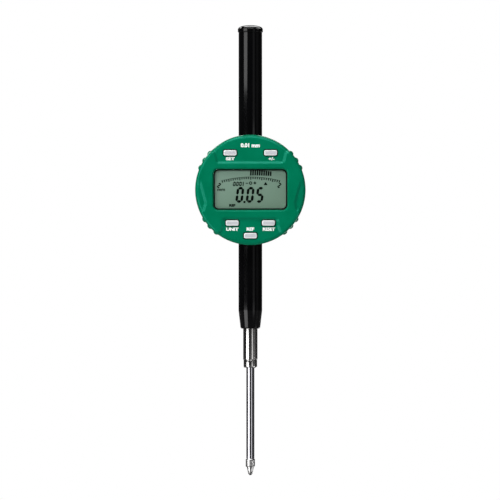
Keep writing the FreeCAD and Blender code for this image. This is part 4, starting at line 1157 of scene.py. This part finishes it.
# The round way in for the battery with two notches for the cover's tabs.
def batteryOpening(grow):
    count = 288
    angles = turned(count)
    radius = np.full(count, opening["radius"] + grow)
    for place in opening["places"]:
        off = (angles - math.radians(place) + math.pi) % fullTurn - math.pi
        half = (opening["half"] + grow) / 12
        radius = np.where(np.abs(off) < half, opening["notch"] + grow, radius)
    return polar(radius, angles) + np.array(battery)


# The flat rear cover: a quarter round at its edge, its holes, and the lug in the middle.
def makeRearCover():
    shape = Shape()
    holes = [batteryOpening] + [circleOf(2.0, 40, place) for place in rearScrews]
    outline = circleOf(rear["radius"], 256)
    flat, triangles = cut2d(outline(-rear["edge"]), [hole(rear["holeEdge"]) for hole in holes])
    shape.add(standing(flat, rear["back"]), triangles)
    flat, triangles = cut2d(outline(0), [hole(0) for hole in holes])
    shape.add(standing(flat, rear["front"]), triangles)
    rows = [standing(outline(0), rear["front"])]
    rows += [standing(outline(-inset), rear["back"] - sunk) for inset, sunk in quarter(rear["edge"], 6)[::-1]]
    shape.rows(rows)
    bend = quarter(rear["holeEdge"], 3)[::-1]
    for hole in holes:
        rows = [standing(hole(0), rear["front"])]
        rows += [standing(hole(inset), rear["back"] - sunk) for inset, sunk in bend]
        shape.rows(rows)
    lug(shape)
    return shape.piece("rearCover", "frame", [blackPlastic], ["rear_cover"], 35)


# The mounting lug: a tongue with a round end, a hole across it and a flared foot.
# Its outline runs from the foot over the tip, and each side is set in at the edges.
def lug(shape):
    half, holeY, outer, bore, soft, steps = (
        lugSize[k] for k in ("half", "holeY", "outer", "bore", "soft", "steps")
    )
    angles = np.linspace(-math.pi / 2, math.pi / 2, 41)
    tip = [(holeY + outer * math.cos(a), outer * math.sin(a)) for a in angles]
    foot = [(rear["back"] - 0.6, -7.2), (9.5, -7.0), (10.1, -6.35), (11.2, -5.85), (12.6, -5.62)]
    outlinePoints = np.array(foot + tip + [(y, -z) for y, z in foot][::-1])
    normals = np.roll(outlinePoints, -1, axis=0) - np.roll(outlinePoints, 1, axis=0)
    normals = np.stack([normals[:, 1], -normals[:, 0]], 1)
    normals /= np.linalg.norm(normals, axis=1)[:, None]

    def row(points, x):
        result = np.zeros((len(points), 3))
        result[:, 0] = x
        result[:, 1] = points[:, 0]
        result[:, 2] = points[:, 1] + headZ
        return result

    bend = quarter(soft, steps)
    rows = [row(outlinePoints - normals * inset, -half + sunk) for inset, sunk in bend]
    rows += [row(outlinePoints - normals * inset, half - sunk) for inset, sunk in bend[::-1]]
    shape.rows(rows)
    holeRows = []
    for depth, grow in ((-half, 0.3), (-half + 0.3, 0), (half - 0.3, 0), (half, 0.3)):
        holeRows.append(row(ring(bore + grow, 72, (holeY, 0)), depth))
    shape.rows(holeRows)
    wide = ring(bore + 0.3, 72, (holeY, 0))
    for x in (-half, half):
        flat, triangles = cut2d(outlinePoints - normals * soft, [wide])
        shape.add(row(flat, x), triangles)


# A pan head with a crossed recess: radius and depth rows, then a star-shaped pit.
# The pit's edge is r = slot at the arms and less between them.
def screwHead(shape, x, z, radius, face, way, slot=0.45):
    count = 72
    angles = turned(count)
    arms = np.abs(np.cos(2 * angles)) ** 6
    star = radius * (0.16 + 0.42 * arms)
    rows = []
    for size, depth in ((1.0, -0.9), (1.0, -0.18), (0.96, -0.07), (0.88, 0.0)):
        rows.append((radius * size * np.ones(count), depth))
    rows.append((star * 1.06, 0.0))
    rows.append((star, -0.05))
    rows.append((star * 0.55, -slot))
    made = []
    for size, depth in rows:
        flat = polar(size, angles)
        made.append(standing(flat + np.array([x, z]), face + way * depth))
    shape.filled(made)


def makeRearScrews():
    shape = Shape()
    for x, z in rearScrews:
        screwHead(shape, x, z, 1.88, rear["back"] - 0.05, 1)
    return shape.piece("rearScrews", "frame", [screwSteel], ["rear_cover_screws"], 35)


# The battery's round cover with a coin slot whose floor is a shallow arc.
def makeBatteryCover():
    shape = Shape()
    radius, back, inner, edge = (lid[k] for k in ("radius", "back", "inner", "edge"))

    def outline(grow):
        return ring(radius + grow, 192, battery)

    def slot(grow):
        return roundedBox(*coinSlot["size"], 120, battery, grow)

    flat, triangles = cut2d(outline(-edge), [slot(coinSlot["edge"])])
    shape.add(standing(flat, back), triangles)
    rows = [standing(outline(0), inner)]
    rows += [standing(outline(-inset), back - sunk) for inset, sunk in quarter(edge, 4)[::-1]]
    shape.rows(rows)
    steps = ((coinSlot["edge"], 0), (0, coinSlot["edge"]), (0, coinSlot["depth"]))
    shape.rows([standing(slot(grow), back - sunk) for grow, sunk in steps])
    for loop, depth in ((slot(0), back - coinSlot["depth"]), (outline(0), inner)):
        flat, triangles = cut2d(loop, [])
        shape.add(standing(flat, depth), triangles)
    return shape.piece("batteryCover", "battery_door", [blackPlastic], ["battery_cover"], 35)


makeBackPlate()
makeHousing()
makeRearCover()
makeRearScrews()
makeBatteryCover()
print("housing and rear cover made")


# Tubes and stem


# Each profile starts and ends at one point and holds radius, z and the round of that corner
turnedPieces = {
    "upperTube": (
        "upper_tube",
        blackMetal,
        [
            (5.3, 107.85, 0),
            (5.9, 107.85, 0.2),
            (5.9, 115.85, 0),
            (6.57, 115.85, 0.15),
            (6.57, 174.55, 0.1),
            (5.3, 174.55, 0),
            (5.3, 107.85, 0),
        ],
    ),
    "tubeCap": (
        "tube_cap",
        blackMetal,
        [
            (0.001, 175.5, 0),
            (3.4, 175.5, 0),
            (3.4, 170.05, 0),
            (5.25, 170.05, 0),
            (5.25, 174.57, 0),
            (7.0, 174.57, 0.3),
            (7.0, 176.6, 0.1),
            *[(6.75 * math.cos(a), 176.68 + 1.92 * math.sin(a), 0) for a in np.linspace(0.04, 1.57, 24)],
        ],
    ),
    "lowerSleeve": (
        "lower_sleeve",
        blackMetal,
        [
            (3.75, 8.7, 0),
            (4.9, 8.7, 0.2),
            (5.5, 9.3, 0.5),
            (6.6, 18.9, 3.0),
            (6.6, 56.65, 0.1),
            (5.9, 56.65, 0),
            (5.9, 64.65, 0.2),
            (5.3, 64.65, 0),
            (5.3, 20.0, 0),
            (3.75, 20.0, 0),
            (3.75, 8.7, 0),
        ],
    ),
    "stemTube": (
        "stem",
        stemSteel,
        [
            (3.1, -8.7, 0),
            (4.0, -8.7, 0.25),
            (4.0, 8.7, 0),
            (3.7, 8.7, 0),
            (3.7, 20.0, 0.1),
            (3.1, 20.0, 0),
            (3.1, -8.7, 0),
        ],
    ),
    "lowerBush": (
        "lower_bush",
        stemSteel,
        [
            (2.29, -13.15, 0),
            (3.77, -13.15, 0.7),
            (3.77, -8.7, 0.35),
            (3.1, -8.7, 0),
            (3.1, -0.7, 0),
            (2.29, -0.7, 0),
            (2.29, -13.15, 0),
        ],
    ),
}
for name, (node, material, corners) in turnedPieces.items():
    shape = Shape()
    profile = [(radius, z) for radius, z, soft in corners]
    shape.rows(aboutZ(rounded(profile, [soft for radius, z, soft in corners]), 96))
    shape.piece(name, "frame", [material], [node], 35)


rod = {"radius": 2.25, "count": 96, "flat": -0.9, "flatLow": 26.005, "flatHigh": 95.695}


# The spindle: a ground rod, flat in front where the scale lies, with a thin tail.
# The flat is y = max(y, flat) between its ends.
def makeRod():
    shape = Shape()
    heights = np.concatenate(
        [[-64.25], np.linspace(-64.0, 25.9, 30), [26.0, 26.01], np.linspace(27, 94, 20), [95.69, 95.7]]
    )
    radius = rod["radius"]
    profile = [(radius - 0.25, -64.25)] + [(radius, z) for z in heights[1:]]
    profile += [(radius, 108.9), (radius - 0.1, 109.0), (1.8, 109.0), (1.8, 116.8), (1.6, 117.0)]
    rows = aboutZ(profile, rod["count"])
    onFlat = (rows[:, :, 2] > rod["flatLow"]) & (rows[:, :, 2] < rod["flatHigh"])
    rows[:, :, 1] = np.where(onFlat, np.maximum(rows[:, :, 1], rod["flat"]), rows[:, :, 1])
    shape.filled(rows)
    return shape.piece("spindleRod", "spindle", [rodSteel], ["spindle_rod"], 35)


knurlSize = {"teeth": 20, "lean": 7.8, "depth": 0.07, "middle": 0.55}


# The screwed-in point: a knurled collar over a cone that holds the ball. The knurl is
# r + depth ((|cos(n a + t z)| + |cos(n a - t z)|) / 2 - middle), a diamond pattern.
def makeContactPoint():
    shape = Shape()
    count = 240
    angles = turned(count)
    rows = []
    for radius, z, cut in [
        (2.0, -64.25, 0),
        (2.35, -64.25, 0),
        (2.6, -64.6, 0),
        *[(2.56, z, 1) for z in np.linspace(-64.8, -67.8, 41)],
        (2.6, -67.9, 0),
        (2.6, -68.35, 0),
        (2.3, -68.75, 0),
        (1.95, -68.78, 0),
        (1.86, -69.3, 0),
        (1.56, -70.8, 0),
        (1.21, -72.55, 0),
        (1.15, -72.65, 0),
        (1.0, -72.65, 0),
    ]:
        across, along = knurlSize["teeth"] * angles, knurlSize["lean"] * z
        knurl = np.abs(np.cos(across + along)) + np.abs(np.cos(across - along))
        size = radius + (cut * (knurl / 2 - knurlSize["middle"]) * knurlSize["depth"])
        rows.append(np.stack([size * np.cos(angles), size * np.sin(angles), np.full(count, z)], 1))
    shape.filled(rows)
    return shape.piece("contactPoint", "spindle", [contactSteel], ["contact_point"], 50)


ball = {"radius": 1.05, "middle": -72.35}


def makeBall():
    shape = Shape()
    radius, middle = ball["radius"], ball["middle"]
    turns = np.linspace(0.001, math.pi - 0.001, 33)
    profile = [(radius * math.sin(t), middle - radius * math.cos(t)) for t in turns]
    shape.rows(aboutZ(profile, 64))
    return shape.piece("contactBall", "spindle", [ballLook], ["contact_ball"], 60)


# Where the spring's anchor is, and the share of its length that it keeps when pressed against it
coil = {"turns": 20, "low": 109.3, "high": 169.75, "radius": 4.2, "wire": 0.3}
coil.update({"anchor": 170.05, "keep": 0.163})


# The return spring: a helix of round wire, (R cos t, R sin t, pitch t / 2 pi).
def makeSpring():
    shape = Shape()
    low, high, radius, wire = (coil[k] for k in ("low", "high", "radius", "wire"))
    angles = np.linspace(0, 1, coil["turns"] * 36 + 1) * coil["turns"] * fullTurn
    rise = (high - low) / (coil["turns"] * fullTurn)
    spine = np.stack([radius * np.cos(angles), radius * np.sin(angles), low + rise * angles], 1)
    outward = np.stack([np.cos(angles), np.sin(angles), np.zeros(len(angles))], 1)
    run = np.stack([-radius * np.sin(angles), radius * np.cos(angles), np.full(len(angles), rise)], 1)
    run /= np.linalg.norm(run, axis=1)[:, None]
    up = np.cross(outward, run)
    turns = turned(10)
    rows = [
        spine[i] + wire * (np.cos(turns)[:, None] * outward[i] + np.sin(turns)[:, None] * up[i])
        for i in range(len(spine))
    ]
    shape.filled(rows)
    spring = shape.piece("returnSpring", "frame", [springLook], ["return_spring"], 60)
    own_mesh(spring)
    return spring


makeRod()
makeContactPoint()
makeBall()
makeSpring()
print("tubes, stem and spindle made")


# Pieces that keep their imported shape

kept = {
    "stop_bumper": softRubber,
    "guide_rail": brassLook,
    "reader_board": boardLook,
    "reader_chip": chipLook,
    "reader_board_screws": screwSteel,
    "battery_tray": innerPlastic,
    "battery": cellSteel,
    "battery_contact": brassLook,
    "friction_ring": softRubber,
    "pivot_clip": springLook,
    "turn_stop_pin": rodSteel,
    "scale_strip": scaleGlass,
    "stop_collar": blackMetal,
    "guide_peg": rodSteel,
    "guide_ring": innerPlastic,
    "zebra_strip_upper": softRubber,
    "zebra_strip_lower": softRubber,
    "display_board": boardLook,
    "display_chip": chipLook,
    "ribbon_coil": filmLook,
    "display_board_screws": screwSteel,
    "display_back_screws": screwSteel,
    "battery_cover_seal": softRubber,
    **{f"switch_{name}": switchLook for name in keys},
}
for name, material in kept.items():
    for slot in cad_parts[name].material_slots:
        slot.material = material


# Floor, light and camera


# A pale surface of the studio. seen is the share of plain white that it shows to the
# camera, over the light that falls on it. mirrored is how bright metal and glass show it.
# Its back is clear, so that it hides nothing from a camera behind it.
def makeStage(name, corners, seen, mirrored):
    mesh = bpy.data.meshes.new(name)
    mesh.from_pydata(corners, [], [(0, 1, 2, 3)])
    look = Look(name)
    paper = look.mixed(look.noise(40, 2), (0.79, 0.79, 0.79, 1), (0.81, 0.81, 0.81, 1))
    lit = look.node("ShaderNodeBsdfPrincipled", None, {"Base Color": paper, "Roughness": 0.8})
    path = look.node("ShaderNodeLightPath")
    camera, glossy, through = (
        Value(look, path.outputs[f"Is {kind} Ray"]) for kind in ("Camera", "Glossy", "Transmission")
    )
    others = (glossy + through).least(1.0)
    colour = look.mixed(others, (1, 1, 1, 1), (mirrored, mirrored, mirrored, 1))
    white = look.node("ShaderNodeEmission", None, {"Color": colour, "Strength": 1.0})
    clear = look.node("ShaderNodeBsdfTransparent", None, {"Color": (1, 1, 1, 1)})
    behind = Value(look, look.node("ShaderNodeNewGeometry").outputs["Backfacing"])
    front = look.node("ShaderNodeMixShader", None, {0: camera * seen + others})
    whole = look.node("ShaderNodeMixShader", None, {0: behind})
    output = look.node("ShaderNodeOutputMaterial")
    look.tree.links.new(lit.outputs[0], front.inputs[1])
    look.tree.links.new(white.outputs[0], front.inputs[2])
    look.tree.links.new(front.outputs[0], whole.inputs[1])
    look.tree.links.new(clear.outputs[0], whole.inputs[2])
    look.tree.links.new(whole.outputs[0], output.inputs[0])
    mesh.materials.append(look.material)
    thing = bpy.data.objects.new(name, mesh)
    bpy.context.scene.collection.objects.link(thing)


studio = {"floor": -0.5, "away": 5.5, "half": 0.75, "top": 0.8, "light": 0.03, "mirrored": 0.025}
stages = {"floor": (0.95, 0.12), "backdrop": (1.0, 0.12)}


# The floor, a white wall far behind, and a world that the camera sees as white.
def makeStudio():
    floor, away, half, top = (studio[k] for k in ("floor", "away", "half", "top"))
    floorCorners = [(-away, -away, floor), (away, -away, floor), (away, away, floor), (-away, away, floor)]
    wallCorners = [(-half, away, floor), (half, away, floor), (half, away, top), (-half, away, top)]
    makeStage("floor", floorCorners, *stages["floor"])
    makeStage("backdrop", wallCorners, *stages["backdrop"])
    world = bpy.data.worlds.new("studio")
    bpy.context.scene.world = world
    world.use_nodes = True
    tree = world.node_tree
    path = tree.nodes.new("ShaderNodeLightPath")
    seen, mirrored = tree.nodes.new("ShaderNodeMix"), tree.nodes.new("ShaderNodeMix")
    for mix, ray, white in ((seen, "Is Camera Ray", 1.0), (mirrored, "Is Glossy Ray", studio["mirrored"])):
        mix.data_type = "RGBA"
        mix.inputs[7].default_value = (white, white, white, 1)
        tree.links.new(path.outputs[ray], mix.inputs[0])
    mirrored.inputs[6].default_value = (studio["light"], studio["light"], studio["light"], 1)
    tree.links.new(mirrored.outputs[2], seen.inputs[6])
    tree.links.new(seen.outputs[2], tree.nodes["Background"].inputs["Color"])


# A soft lamp, turn degrees to the right of the view and rise degrees up.
def makeLamp(name, turn, rise, distance, size, power):
    data = bpy.data.lights.new(name, "AREA")
    data.shape = "RECTANGLE"
    data.size, data.size_y = size
    data.energy = power
    lamp = bpy.data.objects.new(name, data)
    across, up = math.radians(turn), math.radians(rise)
    aim = Vector((0, 0, 0.06))
    away = Vector((math.sin(across) * math.cos(up), -math.cos(across) * math.cos(up), math.sin(up)))
    lamp.location = aim + away * distance
    lamp.rotation_euler = (-away).to_track_quat("-Z", "Y").to_euler()
    bpy.context.scene.collection.objects.link(lamp)


makeStudio()
# Turn and rise in degrees, distance and size in metres, and power
lamps = {
    "upperKey": (-48, 25, 0.8, (0.5, 0.54), 2.8),
    "lowerKey": (-48, -20, 0.8, (0.5, 0.46), 2.6),
    "topLamp": (-6, 70, 1.0, (1.0, 0.3), 4.6),
    "rimLamp": (-30, 60, 1.1, (0.25, 0.25), 1.6),
    "fillLamp": (10, 40, 1.3, (0.8, 0.4), 5.2),
    "middleStrip": (33, 3, 2.2, (0.75, 1.8), 1.0),
    "lowStrip": (33, -8, 2.2, (0.75, 0.5), 0.75),
    "sideStrip": (72, 3, 2.2, (1.1, 1.6), 0.45),
    "rightGlint": (69, -23, 0.8, (0.25, 0.1), 0.6),
    "backLeft": (-138, 36, 1.3, (0.5, 0.4), 4.5),
    "backRight": (150, -24, 1.3, (0.5, 0.4), 2.2),
    "backTop": (170, 45, 1.5, (0.9, 0.5), 7.0),
}
for name, settings in lamps.items():
    makeLamp(name, *settings)

view = {"lens": 500, "distance": 3.889, "height": 0.0527, "across": -0.0002}
cameraData = bpy.data.cameras.new("camera")
cameraData.lens = view["lens"]
cameraData.sensor_width = 36
cameraData.clip_start = 0.05
camera = bpy.data.objects.new("camera", cameraData)
camera.location = (view["across"], -view["distance"], view["height"])
camera.rotation_euler = (math.pi / 2, 0, 0)
bpy.context.scene.collection.objects.link(camera)
bpy.context.scene.camera = camera
bpy.context.scene.view_settings.view_transform = "Standard"

print("scene made")
